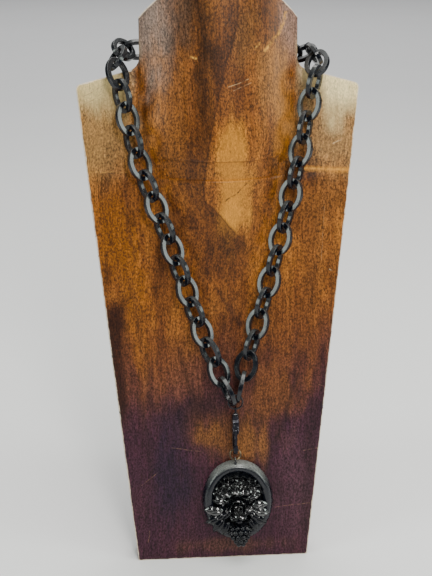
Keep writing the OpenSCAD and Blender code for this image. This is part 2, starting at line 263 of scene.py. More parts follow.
class Effects:
    """The effects that several finishes share, each a node group built once."""

    WEAR_BAND = 0.35
    # How far a surface has to face up to take dust and the painted sheen
    FACING_UP = (0.32, 0.90)
    SPECKS = (0.20, 0.80)
    OPEN_PORES = (0.60, 0.72)
    SCUFF_TURNS = (20.0, 75.0, 140.0)
    SCUFF_LINES = (0.68, 0.76)

    def __init__(self) -> None:
        """Builds every group."""
        self.edge_wear_and_highlight = self._edge_wear_and_highlight()
        self.dust_and_sheen = self._dust_and_sheen()
        self.grain = self._grain()
        self.scratch = self._scratch()
        self.scuffs = self._scuffs()

    def _edge_wear_and_highlight(self) -> NodeTree:
        """Worn edges, broken up by noise; on the wood and the links the pale edges are also a painted edge highlight.
        """
        graph, spot, given, gives = new_group("rubbed_and_highlit_edges", wear=0.0, scale=400.0, start=0.5, ragged=0.8)
        ragged = graph.noise(spot, given("Scale"), 4.0, 0.65)
        pushed = graph.plus(given("Wear"), graph.times(graph.minus(ragged, 0.5), given("Ragged")))
        gives("Mask", graph.span(pushed, given("Start"), graph.plus(given("Start"), self.WEAR_BAND)))
        return graph.tree

    def _dust_and_sheen(self) -> NodeTree:
        """Fine dust on what faces up; laid on thickly, as on the pendant's frame and the links, it is a painted sheen
        on their upper sides.
        """
        graph, spot, given, gives = new_group("dust_and_painted_sheen", scale=300.0, amount=0.3)
        facing = graph.axes(graph.add("ShaderNodeNewGeometry").outputs["Normal"])[2]
        specks = graph.span(graph.noise(spot, given("Scale"), 5.0, 0.7), *self.SPECKS)
        gives("Mask", graph.times(graph.span(facing, *self.FACING_UP), specks, given("Amount")))
        return graph.tree

    def _grain(self) -> NodeTree:
        """Wood grain that runs up the board: broad streaks, fine fibres, short flecks and open pores."""
        graph, spot, _, gives = new_group("grain", ("Streaks", "Fibres", "Flecks", "Pores"))
        sway = graph.cloud(graph.stretch(spot, (1.0, 1.0, 0.45)), 14.0, 2.0)
        bent = graph.vector("ADD", spot, graph.vector("MULTIPLY", (0.018, 0.018, 0.0), sway))
        for label, stretch, settings in (("Streaks", (1.0, 0.7, 0.06), (150.0, 4.0, 0.6, 0.4)),
                                         ("Fibres", (1.0, 1.0, 0.09), (900.0, 4.0, 0.7)),
                                         ("Flecks", (1.0, 1.0, 0.60), (1150.0, 3.0, 0.70))):
            gives(label, graph.noise(graph.stretch(bent, stretch), *settings))
        pores = graph.noise(graph.stretch(bent, (1.0, 1.0, 0.16)), 1500.0, 2.0, 0.6)
        gives("Pores", graph.span(pores, *self.OPEN_PORES))
        return graph.tree

    def _scratch(self) -> NodeTree:
        """A scratch from one point to another on the front of the board, also used for the painted highlight along
        the crease.
        """
        graph, spot, given, gives = new_group("scratch", start=(0.0, 0.0, 0.0), end=(0.0, 0.0, 0.01), width=0.0005)
        shake = graph.vector("MULTIPLY", graph.vector("SUBTRACT", graph.cloud(spot, 130.0, 1.0), (0.5, 0.5, 0.5)),
                             (0.0016, 0.0, 0.0016))
        moved = graph.vector("ADD", graph.vector("MULTIPLY", spot, (1.0, 0.0, 1.0)), shake)
        whole = graph.vector("SUBTRACT", given("End"), given("Start"))
        part = graph.vector("SUBTRACT", moved, given("Start"))
        share = graph.math("DIVIDE", graph.vector("DOT_PRODUCT", part, whole),
                           graph.vector("DOT_PRODUCT", whole, whole), clamp=True)
        away = graph.vector("DISTANCE", part, graph.scaled(whole, share))
        faint = graph.span(graph.noise(spot, 420.0, 4.0, 0.65), 0.40, 0.60, 0.08, 1.0)
        gives("Mask", graph.times(graph.span(away, 0.0, given("Width"), 1.0, 0.0), faint))
        return graph.tree

    def _scuffs(self) -> NodeTree:
        """Short hairline scuffs in all directions."""
        graph, spot, given, gives = new_group("scuffs", scale=260.0)
        total: object = 0.0
        for turn in self.SCUFF_TURNS:
            tilted = graph.add("ShaderNodeMapping", {
                "Vector": spot, "Rotation": (math.radians(turn), math.radians(turn / 2), 0.0),
                "Scale": (1.0, 0.06, 0.5)}).outputs[0]
            total = graph.most(total, graph.span(graph.noise(tilted, given("Scale"), 2.0, 0.5), *self.SCUFF_LINES))
        gives("Mask", total)
        return graph.tree


@dataclass(frozen=True)
class Patch:
    """A soft patch of another tone on the front of the wood, in millimetres across and up the board; most are the
    wood's own tone, and some are painted sheen and painted reflection.
    """

    middle: Pair
    reach: Pair
    colour: Colour
    strength: float
    ragged: float = 0.5


# The colours of dark marks, of freshly bared wood (also the painted highlight along the left shoulder's crease), of
# pale and faint scratches and of hairlines in the pale wood
BRUISE: Colour = (0.014, 0.006, 0.005)
GOLDEN: Colour = (0.70, 0.34, 0.06)
PALE: Colour = (0.64, 0.44, 0.22)
FAINT: Colour = (0.300, 0.160, 0.085)
HAIRLINE: Colour = (0.10, 0.05, 0.02)


@dataclass(frozen=True)
class Scratch:
    """A line on the front of the wood, in millimetres across and up the board; most are scratches and dark streaks,
    and some are the painted highlight along the crease.
    """

    start: Pair
    end: Pair
    width: float
    strength: float
    colour: Colour


def marks(colour: Colour, *rows: tuple[Pair, Pair, float, float]) -> tuple[Scratch, ...]:
    """Some lines of one colour, each by its start, end, width and strength: scratches, dark streaks and the painted
    highlight along the crease.
    """
    return tuple(Scratch(*row, colour) for row in rows)


@dataclass(frozen=True)
class WoodFinish:
    """Oiled wood with its own patches, scratches and pale worn edges; some patches and lines are painted sheen,
    highlight and reflection, and the pale edges are partly a painted highlight.
    """

    name: str
    dark: Colour = (0.056, 0.016, 0.004)
    middle: Colour = (0.175, 0.055, 0.008)
    light: Colour = (0.340, 0.120, 0.016)
    # The foot: darker towards the bottom, and its purple tint is a painted reflection of a blue cloth
    foot: Colour = (0.020, 0.005, 0.013)
    # The pale colour of the edges: partly wear, partly a painted edge highlight
    wear_and_highlight: Colour = (0.74, 0.62, 0.48)
    patches: tuple[Patch, ...] = ()
    streaks: tuple[Scratch, ...] = ()
    scratches: tuple[Scratch, ...] = ()
    knot: Pair = (2.7, 194.0)
    # Heights in metres between which the dark foot fades out, and how far its edge wanders
    foot_fade: Pair = (0.078, 0.172)
    foot_wander: float = 0.09
    # How dark and how light the fibres and the flecks make the wood
    fibre_tone: Pair = (0.62, 1.38)
    fleck_tone: Pair = (0.30, 1.62)
    gloss: Pair = (0.34, 0.50)
    # How many clouds a millimetre the patches' ragged outlines have, and how softly a patch fades out
    cloud: Triple = (0.10, 0.10, 0.035)
    feather: float = 0.90
    # The long slanted line: height and place across in millimetres
    slant: tuple = ((180, 30.0), (204, 12.0), (227.2, -10.6), (245.2, -9.3), (280, -3.1), (324, 8.2), (352, 12.0))

    def dress(self, effects: Effects) -> Material:
        """Makes the material.

        Args:
            effects: the shared node groups.

        Returns:
            The finished material.
        """
        material, graph, shader = new_material(self.name)
        spot = graph.upright()
        grain = graph.group(effects.grain, vector=spot)
        across, depth, height = graph.axes(spot)
        front = graph.span(depth, 0.003, 0.009, 1.0, 0.0)
        mottle = graph.noise(graph.stretch(spot, (1.0, 1.0, 0.4)), 34.0, 5.0, 0.6, 0.6)
        tone = graph.ramp(graph.plus(graph.times(mottle, 0.62), graph.times(grain["Streaks"], 0.38)),
                          [(0.36, self.dark), (0.50, self.middle), (0.66, self.light)])
        wander = graph.noise(graph.stretch(spot, (1.0, 1.0, 0.5)), 22.0, 4.0, 0.6)
        level = graph.plus(height, graph.times(graph.minus(wander, 0.5), self.foot_wander))
        # The foot, darker towards the bottom, with its painted purple reflection
        foot = graph.mix(grain["Streaks"], self.foot, tuple(2.2 * c for c in self.foot))
        tone = graph.mix(graph.span(level, *self.foot_fade, 0.95, 0.0), tone, foot)
        # The patches' tones, painted sheen and painted reflection, and the streaks with the painted crease highlight
        tones_and_painted_light = graph.add("ShaderNodeAttribute", attribute_name="tones_and_painted_light").outputs
        tone = graph.vector("ADD", graph.scaled(tone, graph.minus(1.0, tones_and_painted_light["Alpha"])), tones_and_painted_light["Color"])
        tone = self._figure(graph, across, height, front, spot, tone)
        fibre = graph.times(graph.span(grain["Fibres"], 0.30, 0.70, *self.fibre_tone),
                            graph.span(grain["Flecks"], 0.32, 0.68, *self.fleck_tone))
        calm = graph.span(graph.axes(tones_and_painted_light["Color"])[0], 0.12, 0.50, 1.0, 0.30)
        grey = graph.add("ShaderNodeCombineXYZ", {0: fibre, 1: fibre, 2: fibre}).outputs[0]
        tone = graph.mix(calm, tone, grey, "MULTIPLY")
        tone = graph.mix(graph.times(grain["Pores"], 0.55), tone, tuple(0.4 * c for c in self.dark))
        marked: object = 0.0
        for line in self.scratches:
            (x0, z0), (x1, z1) = line.start, line.end
            mask = graph.group(effects.scratch, vector=spot, start=(x0 * MM, 0.0, z0 * MM),
                               end=(x1 * MM, 0.0, z1 * MM), width=line.width * MM)[0]
            share = graph.times(mask, front, line.strength)
            tone = graph.mix(share, tone, line.colour)
            marked = graph.most(marked, share)
        # Pale edges: partly wear, partly a painted edge highlight
        worn = graph.group(effects.edge_wear_and_highlight, vector=spot, wear=graph.wear(), scale=150.0, start=0.42, ragged=0.9)[0]
        tone = graph.mix(graph.times(worn, 0.92), tone, self.wear_and_highlight)
        matt = graph.plus(graph.span(grain["Fibres"], 0.2, 0.8, *self.gloss),
                          graph.times(graph.most(worn, marked), 0.25))
        relief = graph.minus(graph.times(grain["Fibres"], 0.5), graph.plus(grain["Pores"], graph.times(marked, 1.2)))
        graph.feed(shader, {"Base Color": tone, "Roughness": matt, "Normal": graph.bump(relief, 0.22, 0.0004),
                            "Specular IOR Level": 0.22, "Coat Weight": 0.02, "Coat Roughness": 0.25})
        return material

    def tones_and_painted_light(self, mesh: Mesh) -> None:
        """Lays the patches and the streaks, among them painted sheen, a painted highlight and painted reflection,
        over one another as a colour attribute that the material reads.

        Args:
            mesh: the finished mesh of a piece in this wood.
        """
        spots = np.zeros(len(mesh.vertices) * 3)
        mesh.vertices.foreach_get("co", spots)
        back = np.array(LEAN.inverted())
        across, depth, height = ((spots.reshape(-1, 3) @ back[:3, :3].T + back[:3, 3]) / MM).T
        wide, deep, tall = self.cloud
        waves = np.array([noise.fractal(Vector((x * wide, y * deep, z * tall)), 0.9, 2.1, 5)
                          for x, y, z in zip(across, depth, height)])
        front = np.clip((9.0 - depth) / 6.0, 0.0, 1.0)
        layers = np.zeros((len(across), 4))
        for patch in self.patches:
            away = np.hypot((across - patch.middle[0]) / patch.reach[0], (height - patch.middle[1]) / patch.reach[1])
            share = np.clip((1.12 - away - patch.ragged * waves) / self.feather, 0.0, 1.0)
            share = (share * share * (3.0 - 2.0 * share) * front * patch.strength)[:, None]
            layers = layers * (1.0 - share) + np.array((*patch.colour, 1.0)) * share
        wander = np.array([noise.noise(Vector((x * 0.05, 7.0, z * 0.05))) for x, z in zip(across, height)])
        for line in self.streaks:
            start, whole = np.array(line.start), np.array(line.end) - np.array(line.start)
            part = np.stack([across + 3.0 * wander, height], axis=1) - start
            along = np.clip(part @ whole / (whole @ whole), 0.0, 1.0)
            away = np.linalg.norm(part - along[:, None] * whole, axis=1) / line.width
            share = (np.clip(1.0 - away, 0.0, 1.0) * front * line.strength)[:, None]
            layers = layers * (1.0 - share) + np.array((*line.colour, 1.0)) * share
        attribute = mesh.attributes.new("tones_and_painted_light", "FLOAT_COLOR", "POINT")
        attribute.data.foreach_set("color", layers.astype(np.float32).ravel())

    def _figure(self, graph: Graph, across: Socket, height: Socket, front: Socket, spot: Socket,
                tone: Socket) -> Socket:
        """Adds the drawn figure of the wood: the long slanted line, the nested points and the knot.

        Args:
            graph: the material's nodes.
            across: the place across the board.
            height: the place up the board.
            front: where the front of the board is.
            spot: the place as a vector.
            tone: the colour so far.

        Returns:
            The colour with the figure in it.
        """
        wobble = graph.times(graph.minus(graph.noise(spot, 60.0, 3.0), 0.5), 0.006)
        swayed = graph.plus(across, wobble)
        # A ramp runs from 0 to 1, so heights go in times 2.5 and places come out as 0.5 and ten times themselves
        course = graph.ramp(graph.times(height, 2.5), [(2.5 * z * MM, (0.5 + 10.0 * x * MM,) * 3)
                                                       for z, x in self.slant])
        side = graph.minus(swayed, graph.times(graph.minus(course, 0.5), 0.1))
        thin = graph.span(graph.math("ABSOLUTE", side), 0.0002, 0.0012, 0.8, 0.0)
        shade = graph.times(graph.span(side, -0.017, -0.001), graph.span(side, 0.0, 0.002, 1.0, 0.0), 0.62)
        dark = graph.times(graph.most(thin, shade), graph.span(height, 0.185, 0.215))
        point = graph.math("ABSOLUTE", graph.minus(swayed, 0.009))
        rise = graph.minus(height, graph.times(point, 1.7))
        rings = graph.math("SINE", graph.times(graph.plus(rise, wobble), 420.0))
        zone = graph.times(graph.span(height, 0.105, 0.15), graph.span(height, 0.19, 0.225, 1.0, 0.0),
                           graph.span(point, 0.015, 0.045, 1.0, 0.0))
        nested = graph.times(graph.span(rings, 0.35, 1.0, 0.0, 0.26), zone)
        eye = graph.vector("DISTANCE", graph.vector("MULTIPLY", spot, (1.0, 0.0, 0.6)),
                           (self.knot[0] * MM, 0.0, self.knot[1] * MM * 0.6))
        turns = graph.math("SINE", graph.times(graph.plus(eye, wobble), 2600.0))
        knot = graph.times(graph.span(turns, -0.2, 1.0, 0.3, 0.5), graph.span(eye, 0.002, 0.011, 1.0, 0.0))
        drawn = graph.times(graph.most(dark, nested, knot), front)
        return graph.mix(drawn, tone, tuple(0.55 * c for c in self.dark))


@dataclass(frozen=True)
class CarvedFinish:
    """Black vulcanite or carved jet-like material, from dull to glossy."""

    name: str
    body: Colour
    faded: Colour
    wear_and_highlight: Colour
    gloss: Pair
    coat: float = 0.0
    # How much dust lies on what faces up; where it is thick it is a painted sheen
    dust_and_sheen: float = 0.25
    bump: float = 0.12
    wear_start: float = 0.55
    shine: float = 0.5
    # The colour of the dust, which is also the colour of the painted sheen
    dust_and_sheen_tone: Colour = (0.42, 0.44, 0.41)

    def dress(self, effects: Effects) -> Material:
        """Makes the material.

        Args:
            effects: the shared node groups.

        Returns:
            The finished material.
        """
        material, graph, shader = new_material(self.name)
        spot = graph.place()
        cloud = graph.span(graph.noise(spot, 150.0, 4.0, 0.6), 0.35, 0.68)
        tone = graph.mix(cloud, self.body, self.faded)
        # Pale edges: wear, and on the links partly a painted highlight
        worn = graph.group(effects.edge_wear_and_highlight, vector=spot, wear=graph.wear(), scale=900.0, start=self.wear_start)[0]
        tone = graph.mix(graph.times(worn, 0.7), tone, self.wear_and_highlight)
        # Dust on what faces up, which where it is thick is a painted sheen
        dust_and_sheen = graph.group(effects.dust_and_sheen, vector=spot, scale=1400.0, amount=self.dust_and_sheen)[0]
        tone = graph.mix(dust_and_sheen, tone, self.dust_and_sheen_tone)
        scuffs = graph.group(effects.scuffs, vector=spot, scale=900.0)[0]
        tone = graph.mix(graph.times(scuffs, 0.25), tone, self.wear_and_highlight)
        matt = graph.plus(graph.span(graph.noise(spot, 220.0, 3.0, 0.5), 0.3, 0.7, *self.gloss),
                          graph.times(graph.plus(scuffs, dust_and_sheen), 0.12))
        fine = graph.minus(graph.noise(spot, 1800.0, 3.0, 0.6), graph.times(scuffs, 0.4))
        graph.feed(shader, {"Base Color": tone, "Roughness": matt, "Normal": graph.bump(fine, self.bump, 0.00015),
                            "Specular IOR Level": self.shine, "Coat Weight": self.coat, "Coat Roughness": 0.06})
        return material


@dataclass(frozen=True)
class MetalFinish:
    """Old plated or bare metal with tarnish in its hollows and bright worn edges."""

    name: str
    bright: Colour
    tarnish: Colour
    cover: Pair
    gloss: Pair = (0.22, 0.42)
    wear_start: float = 0.45
    dust_and_sheen_tone: Colour = (0.22, 0.21, 0.19)

    def dress(self, effects: Effects) -> Material:
        """Makes the material.

        Args:
            effects: the shared node groups.

        Returns:
            The finished material.
        """
        material, graph, shader = new_material(self.name)
        spot = graph.place()
        spread = graph.span(graph.noise(spot, 300.0, 5.0, 0.60, 0.3), *self.cover)
        worn = graph.group(effects.edge_wear_and_highlight, vector=spot, wear=graph.wear(), scale=1200.0, start=self.wear_start)[0]
        covered = graph.times(spread, graph.minus(1.0, worn))
        dust_and_sheen = graph.group(effects.dust_and_sheen, vector=spot, scale=1500.0, amount=0.12)[0]
        tone = graph.mix(dust_and_sheen, graph.mix(covered, self.bright, self.tarnish), self.dust_and_sheen_tone)
        matt = graph.plus(graph.span(graph.noise(spot, 900.0, 4.0, 0.6), 0.3, 0.7, *self.gloss),
                          graph.times(covered, 0.14))
        lines = graph.noise(graph.stretch(spot, (1.0, 1.0, 0.12)), 5200.0, 2.0, 0.5)
        graph.feed(shader, {"Base Color": tone, "Metallic": graph.span(covered, 0.0, 1.0, 1.0, 0.65),
                            "Roughness": matt, "Normal": graph.bump(lines, 0.06, 0.0001)})
        return material


def new_material(name: str) -> tuple[Material, Graph, bpy.types.Node]:
    """Starts a material.

    Args:
        name: the material's name.

    Returns:
        The material, its graph and its shader.
    """
    material = bpy.data.materials.new(name)
    material.use_nodes = True
    return material, Graph(material.node_tree), material.node_tree.nodes["Principled BSDF"]


def turns_outward(mesh: Mesh) -> np.ndarray:
    """How sharply the surface turns outwards at each point, for its size.

    Args:
        mesh: the mesh to measure.

    Returns:
        One number for each point, above 0 on an outer edge.
    """
    count = len(mesh.vertices)
    spots, normals = np.zeros(count * 3), np.zeros(count * 3)
    mesh.vertices.foreach_get("co", spots)
    mesh.vertices.foreach_get("normal", normals)
    spots, normals = spots.reshape(-1, 3), normals.reshape(-1, 3)
    pairs = np.zeros(len(mesh.edges) * 2, int)
    mesh.edges.foreach_get("vertices", pairs)
    pairs = pairs.reshape(-1, 2)
    pairs = np.vstack([pairs, pairs[:, ::-1]])
    gap = spots[pairs[:, 1]] - spots[pairs[:, 0]]
    reach = np.maximum(np.linalg.norm(gap, axis=1), 1e-9)
    lean = -(gap * normals[pairs[:, 0]]).sum(axis=1) / reach
    total = np.bincount(pairs[:, 0], lean, count)
    return total / np.maximum(np.bincount(pairs[:, 0], minlength=count), 1)


def mark_wear(mesh: Mesh, low: float, high: float) -> None:
    """Stores the wear of each point as an attribute that the finishes read, for wear and, on the wood and the links,
    a painted edge highlight.

    Args:
        mesh: the mesh to mark.
        low: the turn of the surface where wear starts.
        high: the turn of the surface where it is full.
    """
    wear = np.clip((turns_outward(mesh) - low) / (high - low), 0.0, 1.0)
    attribute = mesh.attributes.new("wear", "FLOAT", "POINT")
    attribute.data.foreach_set("value", wear.astype(np.float32))


@dataclass
class Maker:
    """What every sub-assembly needs to hand over its finished pieces."""

    effects: Effects
    count: int = field(default=0, init=False)

    def hand_over(self, bm: Shape, name: str, material: Material, slot: Slot,
                  replaced: Sequence[str] = (), body: str = MAIN_BODY, sharp: float = 42.0,
                  wear: Pair = (0.12, 0.40)) -> bpy.types.Object:
        """Turns a bmesh into a finished piece that rides on a body.

        Args:
            bm: the shape, in place, which is freed.
            name: the piece's name.
            material: its finish.
            slot: the record's slot that the finish comes from; not used.
            replaced: the CAD nodes that it stands for.
            body: the CAD body that it rides on.
            sharp: the angle in degrees above which an edge looks sharp.
            wear: the turns of the surface where wear starts and is full.

        Returns:
            The piece's object.
        """
        mesh = ready(bm, name)
        mesh.shade_smooth()
        mesh.set_sharp_from_angle(angle=math.radians(sharp))
        mesh.materials.append(material)
        mark_wear(mesh, *wear)
        piece = new_object(name, mesh)
        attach(piece, body)
        if replaced:
            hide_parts(*replaced)
        self.count += 1
        LOG.info("%s: %d faces, for %s", name, len(mesh.polygons), ", ".join(replaced) or "detail")
        return piece


def merged(node: str) -> Shape:
    """A copy of a CAD node with its points merged and its normals worked out."""
    bm = bmesh.new()
    bm.from_mesh(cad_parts[node].data)
    bmesh.ops.remove_doubles(bm, verts=bm.verts, dist=MERGE)
    bm.normal_update()
    return bm


def softened(node: str, voxel: float, passes: int) -> Shape:
    """A close even copy of a CAD node with its edges eased.

    Args:
        node: the CAD node.
        voxel: the size of the new faces in millimetres.
        passes: how often the points are eased.

    Returns:
        The shape, in place.
    """
    bm = merged(node)
    mesh = bpy.data.meshes.new("copy")
    bm.to_mesh(mesh)
    copy = new_object("copy", mesh)
    remesh = copy.modifiers.new("even", "REMESH")
    remesh.mode, remesh.voxel_size = "VOXEL", voxel * MM
    even = bpy.data.meshes.new_from_object(copy.evaluated_get(bpy.context.evaluated_depsgraph_get()))
    bm.clear()
    bm.from_mesh(even)
    bpy.data.objects.remove(copy)
    bpy.data.meshes.remove(mesh)
    bpy.data.meshes.remove(even)
    for _ in range(passes):
        bmesh.ops.smooth_vert(bm, verts=bm.verts, factor=0.5, use_axis_x=True, use_axis_y=True, use_axis_z=True)
    return bm


def edge_points(node: str, spared: Sequence[float] = (0.0, 0.0, 0.0), sharp: float = 25.0,
                step: float = 0.1) -> KDTree:
    """Closely spaced points on the real edges of a CAD node, ready to be searched.

    Args:
        node: the CAD node.
        spared: a zone of the board left out, as half its width, its lowest and its highest height.
        sharp: the angle in degrees above which an edge counts.
        step: how far apart the points are, in millimetres.

    Returns:
        The search tree.
    """
    core = merged(node)
    spots = []
    upright = LEAN.inverted()
    for edge in core.edges:
        start, end = (v.co.copy() for v in edge.verts)
        middle = upright @ start.lerp(end, 0.5) / MM
        plain = abs(middle.x) < spared[0] and spared[1] < middle.z < spared[2]
        if not plain and len(edge.link_faces) == 2 and edge.calc_face_angle(0.0) > math.radians(sharp):
            count = max(1, math.ceil((end - start).length / (step * MM)))
            spots += [start.lerp(end, k / count) for k in range(count + 1)]
    core.free()
    tree = KDTree(len(spots))
    for number, spot in enumerate(spots):
        tree.insert(spot, number)
    tree.balance()
    return tree


def round_edges(bm: Shape, node: str, radius: float, catch: float) -> None:
    """Lays a close copy of a CAD node on that node's surface, with all outer edges evenly rounded.

    Args:
        bm: the close copy.
        node: the CAD node.
        radius: the radius of the edges in millimetres.
        catch: how near an edge a point is drawn onto it, in millimetres.
    """
    edges = edge_points(node)
    core = merged(node)
    for vert, inset in [(v, v.normal * v.calc_shell_factor()) for v in core.verts]:
        vert.co -= inset * radius * MM
    tree = BVHTree.FromBMesh(core)
    core.free()
    # A point all but on the core has no clear way out and stays where it is
    unclear = 0.2 * radius * MM
    for vert in bm.verts:
        spot, _, away = edges.find(vert.co)
        if away < catch * MM:
            vert.co = spot
        spot = tree.find_nearest(vert.co)[0]
        out = vert.co - spot
        if out.length > unclear:
            vert.co = spot + out.normalized() * radius * MM
        vert.co.z = max(vert.co.z, 0.0)


def wear_along_edges(mesh: Mesh, edges: KDTree, reach: float) -> None:
    """Sets the wear of each point by how near it is to a real edge, for the wood's pale edges: partly wear, partly a
    painted edge highlight.

    Args:
        mesh: the mesh to mark.
        edges: points on the edges that count.
        reach: how far the wear reaches from an edge, in millimetres.
    """
    wear = [max(0.0, 1.0 - edges.find(vert.co)[2] / (reach * MM)) for vert in mesh.vertices]
    mesh.attributes["wear"].data.foreach_set("value", wear)


def spun(bm: Shape, shape: Sequence, angle: float, steps: int,
         centre: Sequence[float] = (0.0, 0.0, 0.0), closed: bool = False) -> list:
    """Spins a shape about an upright axis.

    Args:
        bm: the bmesh that the shape is in.
        shape: the points and edges that are carried round.
        angle: how far they go, in radians.
        steps: in how many steps.
        centre: where the axis stands, in metres.
        closed: whether the last step is joined to the first.

    Returns:
        The last copy of the shape.
    """
    return bmesh.ops.spin(bm, geom=shape, cent=centre, axis=(0.0, 0.0, 1.0), dvec=(0.0, 0.0, 0.0), angle=angle,
                          steps=steps, use_merge=closed, use_duplicate=False)["geom_last"]


@dataclass(frozen=True)
class Oval:
    """An oval of four arcs, long side along x, by the reach of its middle line in millimetres."""

    along: float
    across: float

    @property
    def step(self) -> float:
        """The unit that places the arcs' centres."""
        return (self.along - self.across) / 2

    def sweep(self, bm: Shape, end_steps: int, flank_steps: int) -> None:
        """Carries a section once round the oval.

        Args:
            bm: holds the section alone, about the origin, x outwards and y up, as edges.
            end_steps: how many steps each end arc has.
            flank_steps: how many steps each long arc has.
        """
        end_r = self.across - self.step
        half = math.degrees(math.atan2(4.0, 3.0))
        start = (3 * self.step + 0.6 * end_r, -0.8 * end_r)
        bmesh.ops.transform(bm, verts=bm.verts, matrix=at_mm(*start, 0.0) @ turned(-half, "Z") @ turned(90, "X"))
        ends, flanks = math.radians(2 * half), math.radians(180 - 2 * half)
        geometry: list = [*bm.verts, *bm.edges]
        for x, y, angle, steps in ((3, 0, ends, end_steps), (0, -4, flanks, flank_steps),
                                   (-3, 0, ends, end_steps), (0, 4, flanks, flank_steps)):
            geometry = spun(bm, geometry, angle, steps, (x * self.step * MM, y * self.step * MM, 0.0))
        bmesh.ops.remove_doubles(bm, verts=bm.verts, dist=2 * MERGE)


def rounded_section(wide: float, high: float, corner: float, hold: float = 0.07,
                    steps: int = 4) -> Shape:
    """An edge loop with flat sides and rounded corners, each held by a point close beside it.

    Args:
        wide: its width in millimetres.
        high: its height in millimetres.
        corner: the radius of its corners in millimetres.
        hold: how far from a corner its holding points stand, in millimetres.
        steps: how many steps a corner has.

    Returns:
        The loop, flat about the origin.
    """
    bm = bmesh.new()
    points = []
    for turn, side_x, side_y in ((0, 1, 1), (90, -1, 1), (180, -1, -1), (270, 1, -1)):
        middle = Vector((side_x * (wide / 2 - corner), side_y * (high / 2 - corner), 0.0))
        for step in range(steps + 1):
            angle = math.radians(turn + 90 / steps * step)
            out = Vector((math.cos(angle), math.sin(angle), 0.0))
            ahead = Vector((-math.sin(angle), math.cos(angle), 0.0))
            spot = middle + corner * out
            if step == 0:
                points.append(spot - hold * ahead)
            points.append(spot)
            if step == steps:
                points.append(spot + hold * ahead)
    verts = [bm.verts.new(point * MM) for point in points]
    for pair in zip(verts, verts[1:] + verts[:1]):
        bm.edges.new(pair)
    return bm


def stamp(bm: Shape, shape: Mesh, place: Matrix) -> None:
    """Adds a ready shape to a bmesh.

    Args:
        bm: the bmesh that grows.
        shape: the ready shape, on its own axes.
        place: where it goes.
    """
    before = len(bm.verts)
    bm.from_mesh(shape)
    bm.verts.ensure_lookup_table()
    bmesh.ops.transform(bm, matrix=place, verts=bm.verts[before:])


def ready(bm: Shape, name: str) -> Mesh:
    """Keeps a shape for stamping, with its faces outwards, and frees its bmesh."""
    bmesh.ops.remove_doubles(bm, verts=bm.verts, dist=MERGE)
    bmesh.ops.recalc_face_normals(bm, faces=bm.faces)
    mesh = bpy.data.meshes.new(name)
    bm.to_mesh(mesh)
    bm.free()
    return mesh


def wire_ring(across: float, wire: float, gap: float = 0.0, sides: int = 24, steps: int = 96) -> Mesh:
    """A round wire ring about the z axis.

    Args:
        across: its diameter over the middle of the wire, in millimetres.
        wire: the wire's diameter in millimetres.
        gap: the width of its hairline joint in millimetres, or 0 for a closed ring.
        sides: how many sides the wire has.
        steps: how many steps go round the ring.

    Returns:
        The ring's mesh.
    """
    bm = bmesh.new()
    bmesh.ops.create_circle(bm, segments=sides, radius=wire * MM / 2)
    bmesh.ops.transform(bm, verts=bm.verts, matrix=at_mm(across / 2, 0, 0) @ turned(90, "X"))
    spun(bm, [*bm.verts, *bm.edges], 2 * math.pi - 2 * gap / across, steps, closed=gap == 0.0)
    open_edges = [e for e in bm.edges if e.is_boundary]
    if open_edges:
        bmesh.ops.holes_fill(bm, edges=open_edges)
    return ready(bm, "wire_ring")


def lathe(profile: Sequence[Pair], steps: int = 40) -> Mesh:
    """Turns a profile about the z axis.

    Args:
        profile: points as radius and height in millimetres, from the axis back to the axis.
        steps: how many faces go round.

    Returns:
        The turned mesh.
    """
    bm = bmesh.new()
    points = [bm.verts.new((radius * MM, 0.0, height * MM)) for radius, height in profile]
    edges = [bm.edges.new(pair) for pair in zip(points, points[1:])]
    spun(bm, [*points, *edges], 2 * math.pi, steps, closed=True)
    return ready(bm, "turned")


